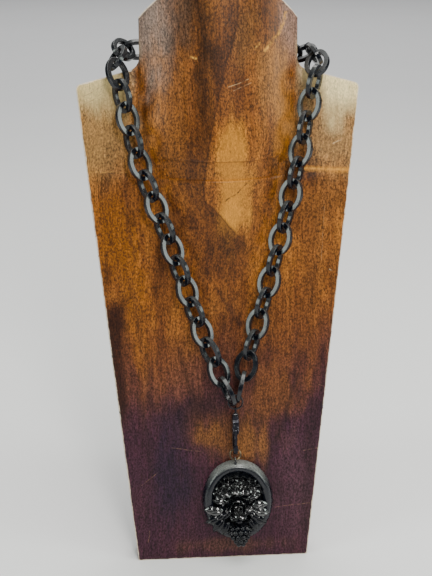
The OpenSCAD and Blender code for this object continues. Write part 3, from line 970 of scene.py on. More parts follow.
@dataclass
class NeckBust(Maker):
    """The leaning wooden bust and the wedge that holds it up."""

    # The size of the board's and the wedge's faces, and how near an edge their points are drawn onto it
    voxel: float = 1.15
    catch: float = 0.92
    wedge_voxel: float = 1.4
    wedge_catch: float = 0.8
    edge: float = 0.75
    # How far the pale edges reach, partly wear and partly a painted edge highlight, and the neck's zone whose edges
    # stay plain
    wear_and_highlight: float = 1.7
    spared: Triple = (50.0, 150.0, 328.0)
    # How deep the nicks are, how far an edge has to turn to get one, their waves to the metre and their threshold
    dent: float = 0.12
    outer_turn: float = 0.12
    nick_waves: float = 60.0
    nick_start: float = 0.25

    def build(self) -> None:
        """Makes the board with its round neck front and the rear wedge."""
        bm = softened("bust", self.voxel, 3)
        round_edges(bm, "bust", self.edge, self.catch)
        self._nick_edges(bm)
        self._dress(bm, "bust", "neck_bust", self.finish(), Slot.BUST, self.spared)
        bm = softened("rear_prop", self.wedge_voxel, 2)
        round_edges(bm, "rear_prop", self.edge, self.wedge_catch)
        self._dress(bm, "rear_prop", "prop_wedge", WoodFinish("wedge_wood", knot=(0.0, -100.0)), Slot.PROP)

    def _dress(self, bm: Shape, node: str, name: str, wood: WoodFinish, slot: Slot,
               spared: Sequence[float] = (0.0, 0.0, 0.0)) -> None:
        """Hands over a wooden piece, with its tones and painted light laid in and its edges pale, partly with wear
        and partly with a painted highlight.

        Args:
            bm: the shape, in place.
            node: the CAD node that it stands for.
            name: the piece's name.
            wood: its finish.
            slot: the record's slot.
            spared: the zone whose edges stay plain.
        """
        mesh = self.hand_over(bm, name, wood.dress(self.effects), slot, [node], sharp=60.0).data
        wood.tones_and_painted_light(mesh)
        wear_along_edges(mesh, edge_points(node, spared), self.wear_and_highlight)

    def _nick_edges(self, bm: Shape) -> None:
        """Wears small nicks and flats into the outer edges.

        Args:
            bm: the bust, with even faces.
        """
        bmesh.ops.recalc_face_normals(bm, faces=bm.faces)
        bm.normal_update()
        for vert in bm.verts:
            around = [e.other_vert(vert).co for e in vert.link_edges]
            turn = sum(((vert.co - other).normalized().dot(vert.normal) for other in around)) / len(around)
            if turn > self.outer_turn:
                share = 2.0 * max(0.0, noise.noise(vert.co * self.nick_waves) - self.nick_start)
                vert.co -= vert.normal * self.dent * MM * share

    def finish(self) -> WoodFinish:
        """The wood of the bust, with the patches and scratches of its front, among them painted sheen on the neck and
        the shoulders, a painted highlight along the crease and painted purple reflection low on the board.
        """
        return WoodFinish(
            "bust_wood",
            patches=tuple(Patch(*row) for row in (
                # Painted sheen: the pale grey sheen on the left side of the neck
                ((-41, 324), (24, 40), (0.180, 0.125, 0.100), 0.90),
                ((-20, 320), (11, 46), (0.056, 0.030, 0.018), 0.85),
                ((-9, 318), (10, 50), (0.028, 0.010, 0.002), 0.92),
                # Painted sheen: the pale sheen on the right side of the neck
                ((42, 324), (12, 34), (0.230, 0.140, 0.110), 0.80),
                ((-10, 286), (8, 30), (0.055, 0.018, 0.003), 0.65),
                ((13, 322), (10, 26), (0.130, 0.054, 0.013), 0.70),
                ((30, 292), (17, 38), (0.310, 0.125, 0.025), 0.80),
                ((7, 240), (14, 42), (0.470, 0.190, 0.022), 0.90, 0.55),
                ((9, 218), (10, 17), (0.570, 0.240, 0.030), 0.70),
                ((-26, 262), (12, 36), (0.160, 0.055, 0.007), 0.65),
                ((37, 258), (10, 42), (0.340, 0.130, 0.016), 0.65),
                ((5, 201), (15, 10), (0.070, 0.022, 0.004), 0.75),
                # Painted sheen on the shoulders: pale at their tops, fading to a warmer tone lower down
                ((-70, 266), (28, 38), (0.310, 0.165, 0.050), 0.90, 0.25),
                ((-74, 304), (30, 36), (0.620, 0.480, 0.220), 0.94, 0.30),
                ((70, 264), (28, 38), (0.310, 0.165, 0.056), 0.90, 0.25),
                ((74, 302), (30, 36), (0.900, 0.730, 0.370), 0.96, 0.30),
                ((62, 226), (24, 17), (0.190, 0.066, 0.010), 0.80, 0.30),
                ((-62, 208), (18, 42), (0.215, 0.068, 0.004), 0.70),
                ((-50, 162), (10, 46), (0.250, 0.082, 0.006), 0.70),
                ((-65, 130), (12, 62), (0.022, 0.005, 0.002), 0.92),
                ((60, 190), (17, 40), (0.180, 0.062, 0.010), 0.65),
                ((42, 150), (20, 36), (0.165, 0.052, 0.009), 0.60),
                ((31, 108), (22, 22), (0.150, 0.050, 0.012), 0.75),
                ((-12, 98), (16, 15), (0.028, 0.008, 0.010), 0.80),
                ((6, 79), (36, 22), (0.110, 0.038, 0.009), 0.85, 0.35),
                ((-9, 80), (14, 10), (0.190, 0.072, 0.014), 0.60, 0.45),
                ((18, 74), (17, 15), (0.220, 0.084, 0.018), 0.65, 0.45),
                # A painted reflection: the purple tint of these dark patches low on the board
                ((-32, 60), (18, 46), (0.015, 0.006, 0.018), 0.80),
                ((46, 50), (20, 40), (0.060, 0.022, 0.034), 0.65),
                ((0, 9), (44, 7), (0.090, 0.036, 0.020), 0.55),
            )),
            streaks=(
                *marks(BRUISE, ((47, 118), (27, 56), 2.2, 0.60), ((-27, 137), (-16, 97), 3.0, 0.40),
                       ((0, 172), (10, 152), 2.6, 0.50), ((10, 152), (17, 151), 2.4, 0.50),
                       ((17, 151), (25, 178), 2.4, 0.40), ((-53, 180), (-43, 100), 3.5, 0.40),
                       ((-51, 110), (-44, 60), 2.5, 0.40), ((57, 100), (52, 20), 5.0, 0.45),
                       ((-58, 246), (-50, 190), 2.5, 0.30), ((-24, 300), (-18, 236), 3.0, 0.35),
                       ((24, 310), (33, 240), 2.6, 0.35), ((62, 236), (54, 160), 3.0, 0.25)),
                # A painted highlight: the broad orange glow along the right shoulder's crease
                Scratch((50, 244.2), (83, 242.8), 2.4, 0.80, (0.60, 0.24, 0.025)),
            ),
            scratches=(
                *marks(GOLDEN, ((38, 332), (34, 322), 1.5, 1.0), ((34, 322), (25, 311), 1.4, 1.0),
                       ((19.3, 312), (22.3, 315), 0.9, 0.9), ((-16.6, 307.6), (-13.8, 306.8), 1.0, 0.9)),
                *marks(PALE, ((4, 291), (15.5, 295.4), 0.35, 0.6), ((6.5, 289), (17, 293.5), 0.28, 0.45)),
                *marks(BRUISE, ((2.3, 226.5), (9.5, 231.5), 0.7, 0.85), ((9.5, 231.5), (16.3, 238), 0.6, 0.85)),
                *marks(PALE, ((66.8, 258.6), (71.2, 260.4), 0.6, 0.8), ((59.2, 254.6), (60.2, 255.2), 0.7, 0.8),
                       ((65.5, 183.9), (67.1, 182.8), 0.6, 0.8), ((-81, 286), (-63, 295), 0.4, 0.4)),
                *marks(HAIRLINE, ((-80, 281), (-66, 289), 0.35, 0.6), ((-78, 287), (-60, 296), 0.30, 0.6),
                       ((-75, 273), (-58, 284), 0.30, 0.5), ((-79, 262), (-66, 270), 0.35, 0.6)),
                # Painted highlights: the bright lines along the crease on the left and on the right
                *marks(GOLDEN, ((-76, 243.9), (-54, 243.6), 0.6, 0.45)),
                Scratch((50, 244.4), (82, 242.9), 1.0, 0.80, (0.70, 0.32, 0.05)),
                *marks(FAINT, ((-50.8, 50.3), (-40, 58.4), 0.35, 0.5), ((-31.8, 74.4), (-10, 70.4), 0.3, 0.45),
                       ((33, 33), (59.5, 35), 0.35, 0.55), ((50.6, 69.6), (65, 71.7), 0.35, 0.5),
                       ((60, 112), (66, 109), 0.35, 0.6), ((-47, 12), (-46, 20), 0.4, 0.5)),
                *marks(PALE, ((62, 222), (60.5, 190), 0.25, 0.35)),
            ),
        )


@dataclass
class LinkChain(Maker):
    """The flat oval links, cut from vulcanite sheet."""

    oval: Oval = Oval(8.6, 6.1)
    rim: float = 2.8
    thick: float = 2.6
    soft: float = 0.30
    # Steps of an end arc and of a long arc
    steps: tuple[int, int] = (24, 14)
    # How uneven the hand-cut faces are, in millimetres, and their waves to the metre
    uneven: float = 0.05
    waves: float = 160.0
    # Its navy tint is a painted reflection of a blue cloth, its pale edges are partly wear and partly a painted
    # highlight, and its dust is partly a painted highlight on the upper sides
    finish: CarvedFinish = CarvedFinish(
        "vulcanite", body=(0.0020, 0.0030, 0.0070), faded=(0.0060, 0.0070, 0.0100), wear_and_highlight=(0.085, 0.090, 0.078),
        gloss=(0.17, 0.25), dust_and_sheen=0.18, bump=0.03, shine=0.44)

    def build(self) -> None:
        """Makes one link and sets a copy on each of the chain's."""
        bm = rounded_section(self.rim, self.thick, self.soft)
        self.oval.sweep(bm, *self.steps)
        link = ready(bm, "oval_link")
        material = self.finish.dress(self.effects)
        for node in sorted(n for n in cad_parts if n.startswith("link_")):
            bm = bmesh.new()
            stamp(bm, link, self.place_of(node))
            for vert in bm.verts:
                vert.co += vert.normal * (self.uneven * MM * (noise.noise(vert.co * self.waves) - 0.5))
            self.hand_over(bm, f"oval_{node}", material, Slot.VULCANITE, [node], wear=(0.10, 0.22))

    def place_of(self, node: str) -> Matrix:
        """Finds a link's own axes from its CAD mesh: long axis x, width y and thickness z.

        Args:
            node: the link's CAD node.

        Returns:
            The matrix that carries a link on its own axes to its place.
        """
        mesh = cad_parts[node].data
        mesh.calc_loop_triangles()
        spots = np.array([v.co for v in mesh.vertices])
        corners = spots[np.array([t.vertices for t in mesh.loop_triangles])]
        areas = np.array([t.area for t in mesh.loop_triangles])
        middles = corners.mean(axis=1)
        centre = (middles * areas[:, None]).sum(axis=0) / areas.sum()
        out = middles - centre
        _, axes = np.linalg.eigh((out * areas[:, None]).T @ out)
        long_way, wide_way = Vector(axes[:, 2]), Vector(axes[:, 1])
        turn = Matrix((long_way, wide_way, long_way.cross(wide_way))).transposed().to_4x4()
        return Matrix.Translation(centre) @ turn


@dataclass
class ClipAndRings(Maker):
    """The ring at the ends of the chain, the swivel clip with its lever, and the pendant's ring."""

    ring_at: Triple = (7.5, -9.0, 105.2)
    ring_across: float = 8.6
    jump_at: Triple = (7.5, -5.6, 70.7)
    jump_across: float = 6.6
    wire: float = 0.98
    joint: float = 0.14
    bow_drop: float = 4.75
    bow_across: float = 3.3
    bow_wire: float = 1.06
    clip_lean: float = 7.0
    hinge: Pair = (-2.6, -13.0)
    # The size of the cast parts' faces
    hook_voxel: float = 0.13
    lever_voxel: float = 0.10
    # Collar and pin as radius and height, the collar's beads as height and width, a rivet's head as radius and height
    collar: tuple = ((0.0, -1.75), (0.62, -1.82), (0.78, -2.05), (1.25, -2.14), (1.48, -2.36), (1.48, -2.78),
                     (1.25, -3.02), (0.60, -3.06), (0.58, -6.62), (0.92, -6.66), (0.92, -7.30), (0.80, -7.38),
                     (0.0, -7.38))
    beads: tuple = ((-3.72, 3.26), (-4.85, 3.34), (-6.0, 3.26))
    bead_wire: float = 0.66
    rivet: tuple = ((0.0, 0.0), (0.72, 0.0), (0.72, 0.12), (0.56, 0.30), (0.28, 0.40), (0.0, 0.42))
    rivet_side: float = 1.58
    ring_wear: Pair = (0.05, 0.25)
    blackened: MetalFinish = MetalFinish(
        "blackened_wire", bright=(0.26, 0.26, 0.28), tarnish=(0.020, 0.020, 0.024), cover=(0.22, 0.44))
    steel: MetalFinish = MetalFinish(
        "worn_clip_metal", bright=(0.34, 0.33, 0.34), tarnish=(0.006, 0.006, 0.012), cover=(0.16, 0.42),
        gloss=(0.12, 0.20), wear_start=0.66)
    brass: MetalFinish = MetalFinish(
        "dull_brass", bright=(0.48, 0.34, 0.18), tarnish=(0.050, 0.038, 0.026), cover=(0.28, 0.56))

    def build(self) -> None:
        """Makes the two rings, the bow and the clip."""
        blackened, steel, brass = (f.dress(self.effects) for f in (self.blackened, self.steel, self.brass))
        for name, node, at, across, turn, material, slot in (
                ("end_ring", "top_ring", self.ring_at, self.ring_across, 100, blackened, Slot.WIRE),
                ("pendant_ring", "jump_ring", self.jump_at, self.jump_across, 35, brass, Slot.BRASS)):
            bm = bmesh.new()
            place = LEAN @ at_mm(*at) @ turned(90, "X") @ turned(turn, "Z")
            stamp(bm, wire_ring(across, self.wire, self.joint), place)
            self.hand_over(bm, name, material, slot, [node], wear=self.ring_wear)
        self._bow(steel)
        self._hook(steel)
        bm = softened("snap_lever", self.lever_voxel, 2)
        self.hand_over(bm, "clip_lever", steel, Slot.CLIP, ["snap_lever"], body=LEVER_BODY, wear=(0.10, 0.30))

    def in_clip(self) -> Matrix:
        """From the clip's own axes, the bow's middle on the origin, to its place."""
        x, y, z = self.ring_at
        return LEAN @ at_mm(x, y, z - self.bow_drop) @ turned(self.clip_lean, "X")

    def _bow(self, material: Material) -> None:
        """The bow with its turned collar and the pin that swivels in the clip."""
        bm = bmesh.new()
        stamp(bm, wire_ring(self.bow_across, self.bow_wire), self.in_clip() @ turned(90, "Y"))
        stamp(bm, lathe(self.collar), self.in_clip())
        self.hand_over(bm, "swivel_eye", material, Slot.CLIP, ["swivel_bow"], wear=self.ring_wear)

    def _hook(self, material: Material) -> None:
        """The cast hook with the beads of its collar and its rivet heads."""
        bm = softened("snap_hook", self.hook_voxel, 2)
        for height, across in self.beads:
            stamp(bm, wire_ring(across, self.bead_wire), self.in_clip() @ at_mm(0, 0, height))
        for side in (-1, 1):
            place = self.in_clip() @ at_mm(side * self.rivet_side, *self.hinge) @ turned(side * 90, "Y")
            stamp(bm, lathe(self.rivet), place)
        self.hand_over(bm, "clip_body", material, Slot.CLIP, ["snap_hook"], wear=(0.08, 0.28))


@dataclass
class Pendant(Maker):
    """The domed oval frame with the carved spray of flowers, leaves and berries."""

    at: Triple = (9.2, -0.3, 39.7)
    turn: float = 3.5
    rim: Triple = (7.4, 6.9, 1.2)
    oval: Oval = Oval(22.05, 18.3)
    rim_steps: tuple[int, int] = (56, 36)
    # How far out of the back the rim is cut off and the floor starts, and how thick the floor is
    rim_cut: float = 0.02
    floor_start: float = 0.03
    floor: float = 2.4
    # The eye's stem as radius and height, and the eye's ring as its width and its wire
    stem: tuple = ((0.0, -2.4), (0.78, -2.3), (0.74, -0.6), (0.95, 0.0), (0.95, 0.3), (0.7, 0.5), (0.0, 0.5))
    eye: Pair = (2.8, 0.78)
    # How far out of the back the stem and the eye stand, and how far the eye stands above the rim
    stem_out: float = 4.9
    eye_out: float = 5.3
    eye_up: float = 1.7
    bloom_at: Pair = (-0.6, -3.6)
    relief_wear: Pair = (0.05, 0.30)
    # The frame's thick dust is a painted sheen across the top of the rim, and its navy tint is a painted reflection
    # of a blue cloth
    frame_finish: CarvedFinish = CarvedFinish(
        "pendant_frame", body=(0.0014, 0.0024, 0.0066), faded=(0.0036, 0.0048, 0.0090), wear_and_highlight=(0.040, 0.042, 0.044),
        gloss=(0.22, 0.30), dust_and_sheen=0.75, bump=0.02, wear_start=0.90, shine=0.46)
    relief_finish: CarvedFinish = CarvedFinish(
        "polished_relief", body=(0.0020, 0.0022, 0.0036), faded=(0.0042, 0.0044, 0.0060),
        wear_and_highlight=(0.060, 0.060, 0.055), gloss=(0.14, 0.20), coat=0.5, dust_and_sheen=0.10, bump=0.01, wear_start=0.97,
        shine=0.90)
    # A darker, duller copy of the relief's finish: painted shade on the ground, the lower leaves and the berries, its
    # bluer tint a painted reflection of a blue cloth
    shaded_finish: CarvedFinish = CarvedFinish(
        "shaded_relief", body=(0.0012, 0.0016, 0.0040), faded=(0.0026, 0.0032, 0.0056),
        wear_and_highlight=(0.040, 0.040, 0.038), gloss=(0.10, 0.18), dust_and_sheen=0.0, bump=0.02, wear_start=0.97, shine=0.34)

    # Petals by length, width, cup and thickness, the leaf by length and width
    small_petal: tuple = (4.9, 4.3, 1.2, 0.45)
    large_petal: tuple = (6.6, 6.2, 1.4, 0.6)
    leaf: Pair = (10.0, 4.2)
    # Leaves lower than this have the darker, duller finish, which is painted shade
    shaded_below: float = -7.5
    # The mound under all of the carving and the one under each floret, by half width, half length and height
    ground: Triple = (13.2, 15.6, 2.6)
    floret_lump: Triple = (2.7, 2.7, 2.6)
    # The further mounds under the carving, in columns: across, up, half width, half length, height
    lumps: tuple = ((-0.4, -13.4, 2.8, 4.2, 4.6), (-10.0, -4.6, 2.8, 5.0, 4.6), (10.4, -4.6, 2.8, 5.0, 4.6),
                    (-0.6, -3.6, 5.6, 5.6, 4.6))
    # The rings of petals of the open bloom, in columns: petals, radius, out, dip, size, turn
    bloom: tuple = ((7, 3.0, 5.0, 18, 1.0, 0), (5, 1.6, 6.4, 34, 0.82, 20), (4, 0.7, 7.3, 52, 0.62, 45))
    # Columns: across, up, out
    florets: tuple = ((-11.4, 6.4, 4.2), (-9.4, 10.6, 4.3), (-5.4, 13.0, 4.4), (-0.8, 13.8, 4.6),
                      (3.8, 13.0, 4.4), (8.0, 11.0, 4.3), (11.0, 7.2, 4.2), (-6.4, 8.0, 4.8),
                      (-1.4, 9.2, 5.2), (4.0, 8.4, 4.8))
    # Columns: across, up, out, turn, half length, half width
    leaves: tuple = ((-11.5, 0.8, 4.8, -78, 4.8, 2.5), (-14.8, -4.0, 7.7, -96, 5.0, 2.8),
                     (-12.8, -8.0, 7.2, -118, 4.8, 2.6), (-9.0, -8.2, 6.0, -130, 4.6, 2.6),
                     (-17.4, -3.0, 7.2, -84, 4.2, 2.6), (-16.4, -9.4, 7.2, -112, 5.0, 2.8),
                     (-13.4, -13.6, 7.2, -136, 5.0, 2.8), (-9.2, -16.4, 6.8, -154, 4.8, 2.6),
                     (12.8, -12.4, 6.8, 128, 4.8, 2.8), (8.6, -15.8, 6.5, 150, 4.8, 2.6),
                     (10.2, 2.0, 4.8, 70, 4.8, 2.6), (13.4, -2.2, 7.6, 92, 5.0, 2.8),
                     (14.0, -7.0, 7.8, 108, 5.0, 2.8), (10.2, -10.0, 7.0, 130, 4.8, 2.6),
                     (8.4, -6.0, 6.0, 112, 4.6, 2.6))
    # Columns: across, up, out, radius
    berries: tuple = ((-4.8, -17.0, 7.6, 1.7), (-1.8, -16.6, 8.3, 1.8), (1.4, -16.8, 8.3, 1.8),
                      (4.2, -17.4, 7.6, 1.7), (-6.0, -19.4, 8.4, 1.6), (-3.2, -19.0, 9.2, 1.8),
                      (-0.2, -18.8, 9.75, 1.85), (2.8, -19.2, 9.2, 1.8), (5.4, -19.8, 8.4, 1.6),
                      (-4.8, -22.0, 8.9, 1.7), (-1.8, -21.8, 9.74, 1.8), (1.2, -21.8, 9.74, 1.8),
                      (4.0, -22.2, 8.9, 1.7), (-3.2, -24.6, 8.6, 1.7), (-0.4, -24.6, 9.2, 1.8),
                      (2.4, -24.8, 8.6, 1.7), (-1.8, -26.8, 8.0, 1.7), (1.0, -27.0, 8.0, 1.7))

    def on_back(self) -> Matrix:
        """From the pendant's own axes, the middle of its back on the origin, to its place."""
        return LEAN @ at_mm(*self.at) @ turned(-self.turn, "Y")

    def on_face(self, across: float, up: float, out: float, turn: float = 0.0, dip: float = 0.0) -> Matrix:
        """From a shape that lies flat, its length along y and its face up, to a place on the pendant's face.

        Args:
            across: how far to the right, in millimetres.
            up: how far up the face.
            out: how far out of the back.
            turn: the turn about the face's axis, clockwise in degrees.
            dip: how far its far end rises, in degrees.

        Returns:
            The matrix that carries the shape there.
        """
        return self.on_back() @ turned(90, "X") @ at_mm(across, up, out) @ turned(-turn, "Z") @ turned(dip, "X")

    def build(self) -> None:
        """Makes the frame and the carved spray."""
        self._frame()
        self._spray(self.relief_finish.dress(self.effects), self.shaded_finish.dress(self.effects))

    def _frame(self) -> None:
        """The domed rim, its sunk floor and the eye that it hangs from."""
        wide, high, foot = self.rim
        bm = bmesh.new()
        bmesh.ops.create_circle(bm, segments=56, radius=1.0, cap_ends=True)
        bmesh.ops.scale(bm, verts=bm.verts, vec=(wide * MM / 2, (high - foot) * MM, 1.0))
        bmesh.ops.translate(bm, verts=bm.verts, vec=(0.0, foot * MM, 0.0))
        bmesh.ops.bisect_plane(bm, geom=[*bm.verts, *bm.edges, *bm.faces], plane_co=(0.0, self.rim_cut * MM, 0.0),
                               plane_no=(0.0, 1.0, 0.0), clear_inner=True)
        bmesh.ops.delete(bm, geom=bm.faces[:], context="FACES_ONLY")
        self.oval.sweep(bm, *self.rim_steps)
        flat = turned(90, "X") @ turned(90, "Z")
        rim = ready(bm, "rim")
        bm = bmesh.new()
        stamp(bm, rim, self.on_back() @ flat)
        plate = bmesh.new()
        bmesh.ops.create_circle(plate, segments=120, radius=1.0, cap_ends=True)
        bmesh.ops.scale(plate, verts=plate.verts, vec=(self.oval.along * MM, self.oval.across * MM, 1.0))
        raised = bmesh.ops.extrude_face_region(plate, geom=plate.faces[:])["geom"]
        bmesh.ops.translate(plate, verts=[v for v in raised if isinstance(v, bmesh.types.BMVert)],
                            vec=(0.0, 0.0, self.floor * MM))
        bmesh.ops.translate(plate, verts=plate.verts, vec=(0.0, 0.0, self.floor_start * MM))
        stamp(bm, ready(plate, "floor"), self.on_back() @ flat)
        top = self.oval.along + wide / 2
        stamp(bm, lathe(self.stem), self.on_back() @ at_mm(0, -self.stem_out, top))
        eye_at = at_mm(0, -self.eye_out, top + self.eye_up)
        stamp(bm, wire_ring(*self.eye), self.on_back() @ eye_at @ turned(90, "Y"))
        self.hand_over(bm, "oval_frame", self.frame_finish.dress(self.effects), Slot.FRAME, ["pendant_frame"],
                       wear=(0.03, 0.20))

    def _spray(self, relief: Material, shaded: Material) -> None:
        """The carved spray, piece by piece.

        Args:
            relief: the polished finish.
            shaded: the darker, duller copy of the finish, painted shade on the lower parts.
        """
        ground = self._mound(*self.ground)
        bm = bmesh.new()
        stamp(bm, ground, self.on_face(0, 0, self.floor))
        lump = self._mound(1.0, 1.0, 1.0)
        for x, y, *size in (*self.lumps, *((x, y, *self.floret_lump) for x, y, _ in self.florets)):
            stamp(bm, lump, self.on_face(x, y, self.floor) @ sized(*size))
        self.hand_over(bm, "spray_ground", shaded, Slot.RELIEF, ["flower_spray"], wear=(0.03, 0.20))
        small, large = self._petal(*self.small_petal), self._petal(*self.large_petal)
        leaf = self._leaf(*self.leaf)
        berry, bead = self._berry(), self._bead()
        bm = bmesh.new()
        for number, (x, y, out) in enumerate(self.florets):
            for k in range(5):
                round_turn, dip = turned(72 * k + 17 * number, "Z"), turned(24 + 6 * (k % 3), "X")
                stamp(bm, small, self.on_face(x, y, out - 0.1) @ round_turn @ dip @ at_mm(0, 0.35, 0.1))
            stamp(bm, bead, self.on_face(x, y, out + 0.35) @ sized(1.0, 1.0, 0.8))
        self.hand_over(bm, "florets", relief, Slot.RELIEF, wear=self.relief_wear)
        bm = bmesh.new()
        for count, radius, out, dip, size, offset in self.bloom:
            for k in range(count):
                place = self.on_face(*self.bloom_at, out) @ turned(360 / count * k + offset, "Z")
                stamp(bm, large, place @ at_mm(0, radius, 0) @ turned(dip, "X") @ sized(size, size, size))
        for k in range(9):
            away = at_mm(0.9 if k % 3 else 0.2, 0, 0)
            stamp(bm, bead, self.on_face(*self.bloom_at, 8.3) @ turned(40 * k, "Z") @ away @ sized(0.5, 0.5, 0.6))
        self.hand_over(bm, "bloom", relief, Slot.RELIEF, wear=self.relief_wear)
        for name, finish, lower in (("leaf_sprays", relief, False), ("lower_leaves", shaded, True)):
            bm = bmesh.new()
            for x, y, out, turn, half_long, half_wide in self.leaves:
                if (y < self.shaded_below) == lower:
                    size = sized(half_wide / 2.0, half_long / 4.9, 1.0)
                    stamp(bm, leaf, self.on_face(x, y, out, turn, -6) @ size)
            self.hand_over(bm, name, finish, Slot.RELIEF, wear=self.relief_wear)
        bm = bmesh.new()
        for number, (x, y, out, radius) in enumerate(self.berries):
            tilt = turned(50 * number, "Z") @ turned(24 + 9 * (number % 4), "X")
            stamp(bm, berry, self.on_face(x, y, out) @ tilt @ sized(radius, radius, radius))
        self.hand_over(bm, "berry_cluster", shaded, Slot.RELIEF, wear=self.relief_wear)

    def _mound(self, wide: float, long: float, high: float) -> Mesh:
        """A low carved mound on a flat base, with tooled waves on it."""
        bm = bmesh.new()
        bmesh.ops.create_uvsphere(bm, u_segments=48, v_segments=24, radius=1.0)
        bmesh.ops.bisect_plane(bm, geom=[*bm.verts, *bm.edges, *bm.faces], plane_co=(0.0, 0.0, 0.0),
                               plane_no=(0.0, 0.0, 1.0), clear_inner=True)
        bmesh.ops.holes_fill(bm, edges=[e for e in bm.edges if e.is_boundary])
        for vert in bm.verts:
            vert.co.z = vert.co.z ** 0.55 if vert.co.z > 0 else 0.0
            if vert.co.z > 0.4:
                vert.co.z *= 1.0 - 0.10 * (0.5 + 0.5 * noise.noise(vert.co * 5.0))
        bmesh.ops.scale(bm, verts=bm.verts, vec=(wide * MM, long * MM, high * MM))
        return ready(bm, "mound")

    def _petal(self, long: float, wide: float, cup: float, thick: float) -> Mesh:
        """A cupped petal with a fold down its middle and a curled lip, its foot on the origin.

        Args:
            long: its length in millimetres.
            wide: its width.
            cup: how far its sides and its tip rise.
            thick: its thickness.

        Returns:
            The petal's mesh.
        """
        bm = bmesh.new()
        bmesh.ops.create_grid(bm, x_segments=12, y_segments=12, size=0.5)
        for vert in bm.verts:
            side, along = 2.0 * vert.co.x, vert.co.y + 0.5
            outline = (1.0 - abs(1.7 * along - 0.75) ** 2.6) if along > 0.44 else 0.34 + 1.5 * along
            outline = max(0.05, min(1.0, outline)) ** 0.6
            notch = 0.07 * math.exp(-(side / 0.2) ** 2) * along
            x = side * wide / 2 * outline
            y = long * (along - notch) * (1.0 - 0.10 * side * side)
            lip = 0.35 * cup * max(0.0, along - 0.75) * 4.0
            z = cup * (0.75 * side * side * along + 0.5 * along * along) - lip
            z += 0.04 * cup * math.cos(9.0 * side) * along - 0.25 * cup * math.exp(-(side / 0.14) ** 2) * along
            vert.co = Vector((x * MM, y * MM, z * MM))
        bmesh.ops.solidify(bm, geom=bm.faces[:], thickness=thick * MM)
        return ready(bm, "petal")

    def _leaf(self, long: float, wide: float) -> Mesh:
        """A pointed leaf with a raised midrib, side veins and a toothed edge, its middle on the origin."""
        bm = bmesh.new()
        bmesh.ops.create_grid(bm, x_segments=14, y_segments=30, size=0.5)
        for vert in bm.verts:
            side, along = 2.0 * vert.co.x, vert.co.y + 0.5
            outline = max(0.02, math.sin(math.pi * min(1.0, along ** 0.85))) ** 0.8
            teeth = 1.0 - 0.12 * (((along * 9.0) % 1.0) * abs(side) ** 3)
            x = side * wide / 2 * outline * teeth
            y = long * (along - 0.5)
            vein = abs(math.sin(math.pi * (along * 7.0 - 1.6 * abs(side))))
            z = 1.15 * outline * (1.0 - abs(side) ** 1.6) - 0.45 * math.exp(-(side / 0.15) ** 2)
            z += 0.12 * outline * vein + 0.7 * math.sin(math.pi * along)
            vert.co = Vector((x * MM, y * MM, z * MM))
        bmesh.ops.solidify(bm, geom=bm.faces[:], thickness=0.7 * MM)
        return ready(bm, "leaf")

    def _berry(self) -> Mesh:
        """A berry of radius 1 mm with a dimpled star at its tip."""
        bm = bmesh.new()
        bmesh.ops.create_uvsphere(bm, u_segments=20, v_segments=14, radius=1.0 * MM)
        for vert in bm.verts:
            height = vert.co.z / MM
            if height > 0.72:
                star = 0.5 + 0.5 * math.cos(5 * math.atan2(vert.co.y, vert.co.x))
                vert.co.z -= (height - 0.72) * (0.5 + 0.5 * star) * MM
        return ready(bm, "berry")

    def _bead(self) -> Mesh:
        """A small round bead of radius 1 mm."""
        bm = bmesh.new()
        bmesh.ops.create_icosphere(bm, subdivisions=3, radius=1.0 * MM)
        return ready(bm, "bead")


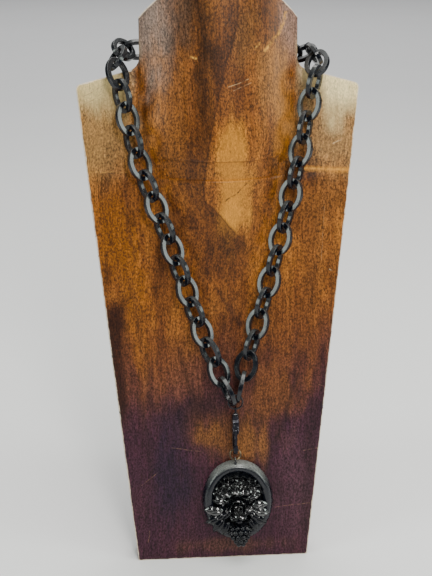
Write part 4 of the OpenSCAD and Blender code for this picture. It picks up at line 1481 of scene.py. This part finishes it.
@dataclass
class Studio:
    """The camera, the pale floor and the soft lights."""

    target: Triple = (-2.95, 0.0, 173.89)
    distance: float = 568.6
    pitch: float = 10.87
    yaw: float = 3.79
    roll: float = -0.58
    sensor: float = 36.0
    # The eye stands 950 pixels from a frame that is 576 pixels high
    lens: float = 950.0 / 576.0 * 36.0

    def build(self) -> None:
        """Makes all of the stage."""
        self._camera()
        self._floor()
        self._lights()

    def _camera(self) -> None:
        """The camera at the photograph's viewing angle, for a frame of 432 by 576."""
        pitch, yaw, roll = (math.radians(a) for a in (self.pitch, self.yaw, self.roll))
        ahead = Vector((math.sin(yaw) * math.cos(pitch), math.cos(yaw) * math.cos(pitch), -math.sin(pitch)))
        right = Vector((math.cos(yaw), -math.sin(yaw), 0.0))
        up = right.cross(ahead)
        right, up = right * math.cos(roll) + up * math.sin(roll), up * math.cos(roll) - right * math.sin(roll)
        turn = Matrix((right, up, -ahead)).transposed().to_4x4()
        eye = Vector(self.target) * MM - ahead * self.distance * MM
        data = bpy.data.cameras.new("camera")
        data.sensor_width, data.lens = self.sensor, self.lens
        data.clip_start, data.clip_end = 0.02, 60.0
        camera = new_object("camera", data)
        camera.matrix_world = LEAN @ Matrix.Translation(eye) @ turn
        bpy.context.scene.camera = camera

    def _floor(self) -> None:
        """A plain pale floor."""
        bm = bmesh.new()
        bmesh.ops.create_grid(bm, x_segments=4, y_segments=4, size=12.0)
        mesh = bpy.data.meshes.new("floor")
        bm.to_mesh(mesh)
        bm.free()
        material, graph, shader = new_material("pale_floor")
        cloud = graph.noise(graph.place(), 3.0, 2.0)
        tone = graph.mix(cloud, (0.78, 0.78, 0.78), (0.82, 0.82, 0.82))
        graph.feed(shader, {"Base Color": tone, "Roughness": 0.75})
        mesh.materials.append(material)
        floor = new_object("floor", mesh)

    def _lights(self) -> None:
        """A strip overhead, a small lamp, a soft window on each side and a light on the floor behind."""
        world = bpy.data.worlds.new("studio")
        bpy.context.scene.world = world
        world.use_nodes = True
        background = world.node_tree.nodes["Background"]
        background.inputs["Color"].default_value = (0.80, 0.85, 0.92, 1.0)
        background.inputs["Strength"].default_value = 0.08
        chest = (0.0, 0.0, 0.19)
        for name, spot, aim, size, power, colour in (
                ("overhead", (0.16, -0.05, 1.40), (0.16, -0.05, 0.0), (0.60, 1.50), 20.0, (1.0, 0.98, 0.94)),
                ("lamp", (0.24, -1.15, 1.02), chest, (0.26, 0.42), 10.5, (1.0, 0.98, 0.94)),
                ("left_window", (-1.30, -0.50, 0.60), chest, (0.45, 0.65), 9.0, (0.90, 1.00, 0.92)),
                ("right_window", (1.30, -0.50, 0.62), chest, (0.45, 0.65), 10.0, (0.90, 1.00, 0.92)),
                ("back", (0.2, 2.6, 2.6), (0.2, 2.4, 0.0), (4.5, 3.0), 90.0, (1.0, 1.0, 1.0))):
            data = bpy.data.lights.new(name, "AREA")
            data.shape, data.size, data.size_y = "RECTANGLE", *size
            data.energy, data.color = power, colour
            light = new_object(name, data)
            toward = Vector(aim) - Vector(spot)
            light.matrix_world = Matrix.Translation(spot) @ toward.to_track_quat("-Z", "Y").to_matrix().to_4x4()


def main() -> None:
    """Builds the stage and every sub-assembly in order."""
    logging.basicConfig(level=logging.INFO, format="%(name)s: %(message)s")
    Studio().build()
    effects = Effects()
    parts: Iterable[Maker] = (NeckBust(effects), LinkChain(effects), ClipAndRings(effects), Pendant(effects))
    for part in parts:
        part.build()
        LOG.info("%s made %d pieces", type(part).__name__, part.count)
    for mesh in [m for m in bpy.data.meshes if m.users == 0]:
        bpy.data.meshes.remove(mesh)


if __name__ == "__main__":
    main()
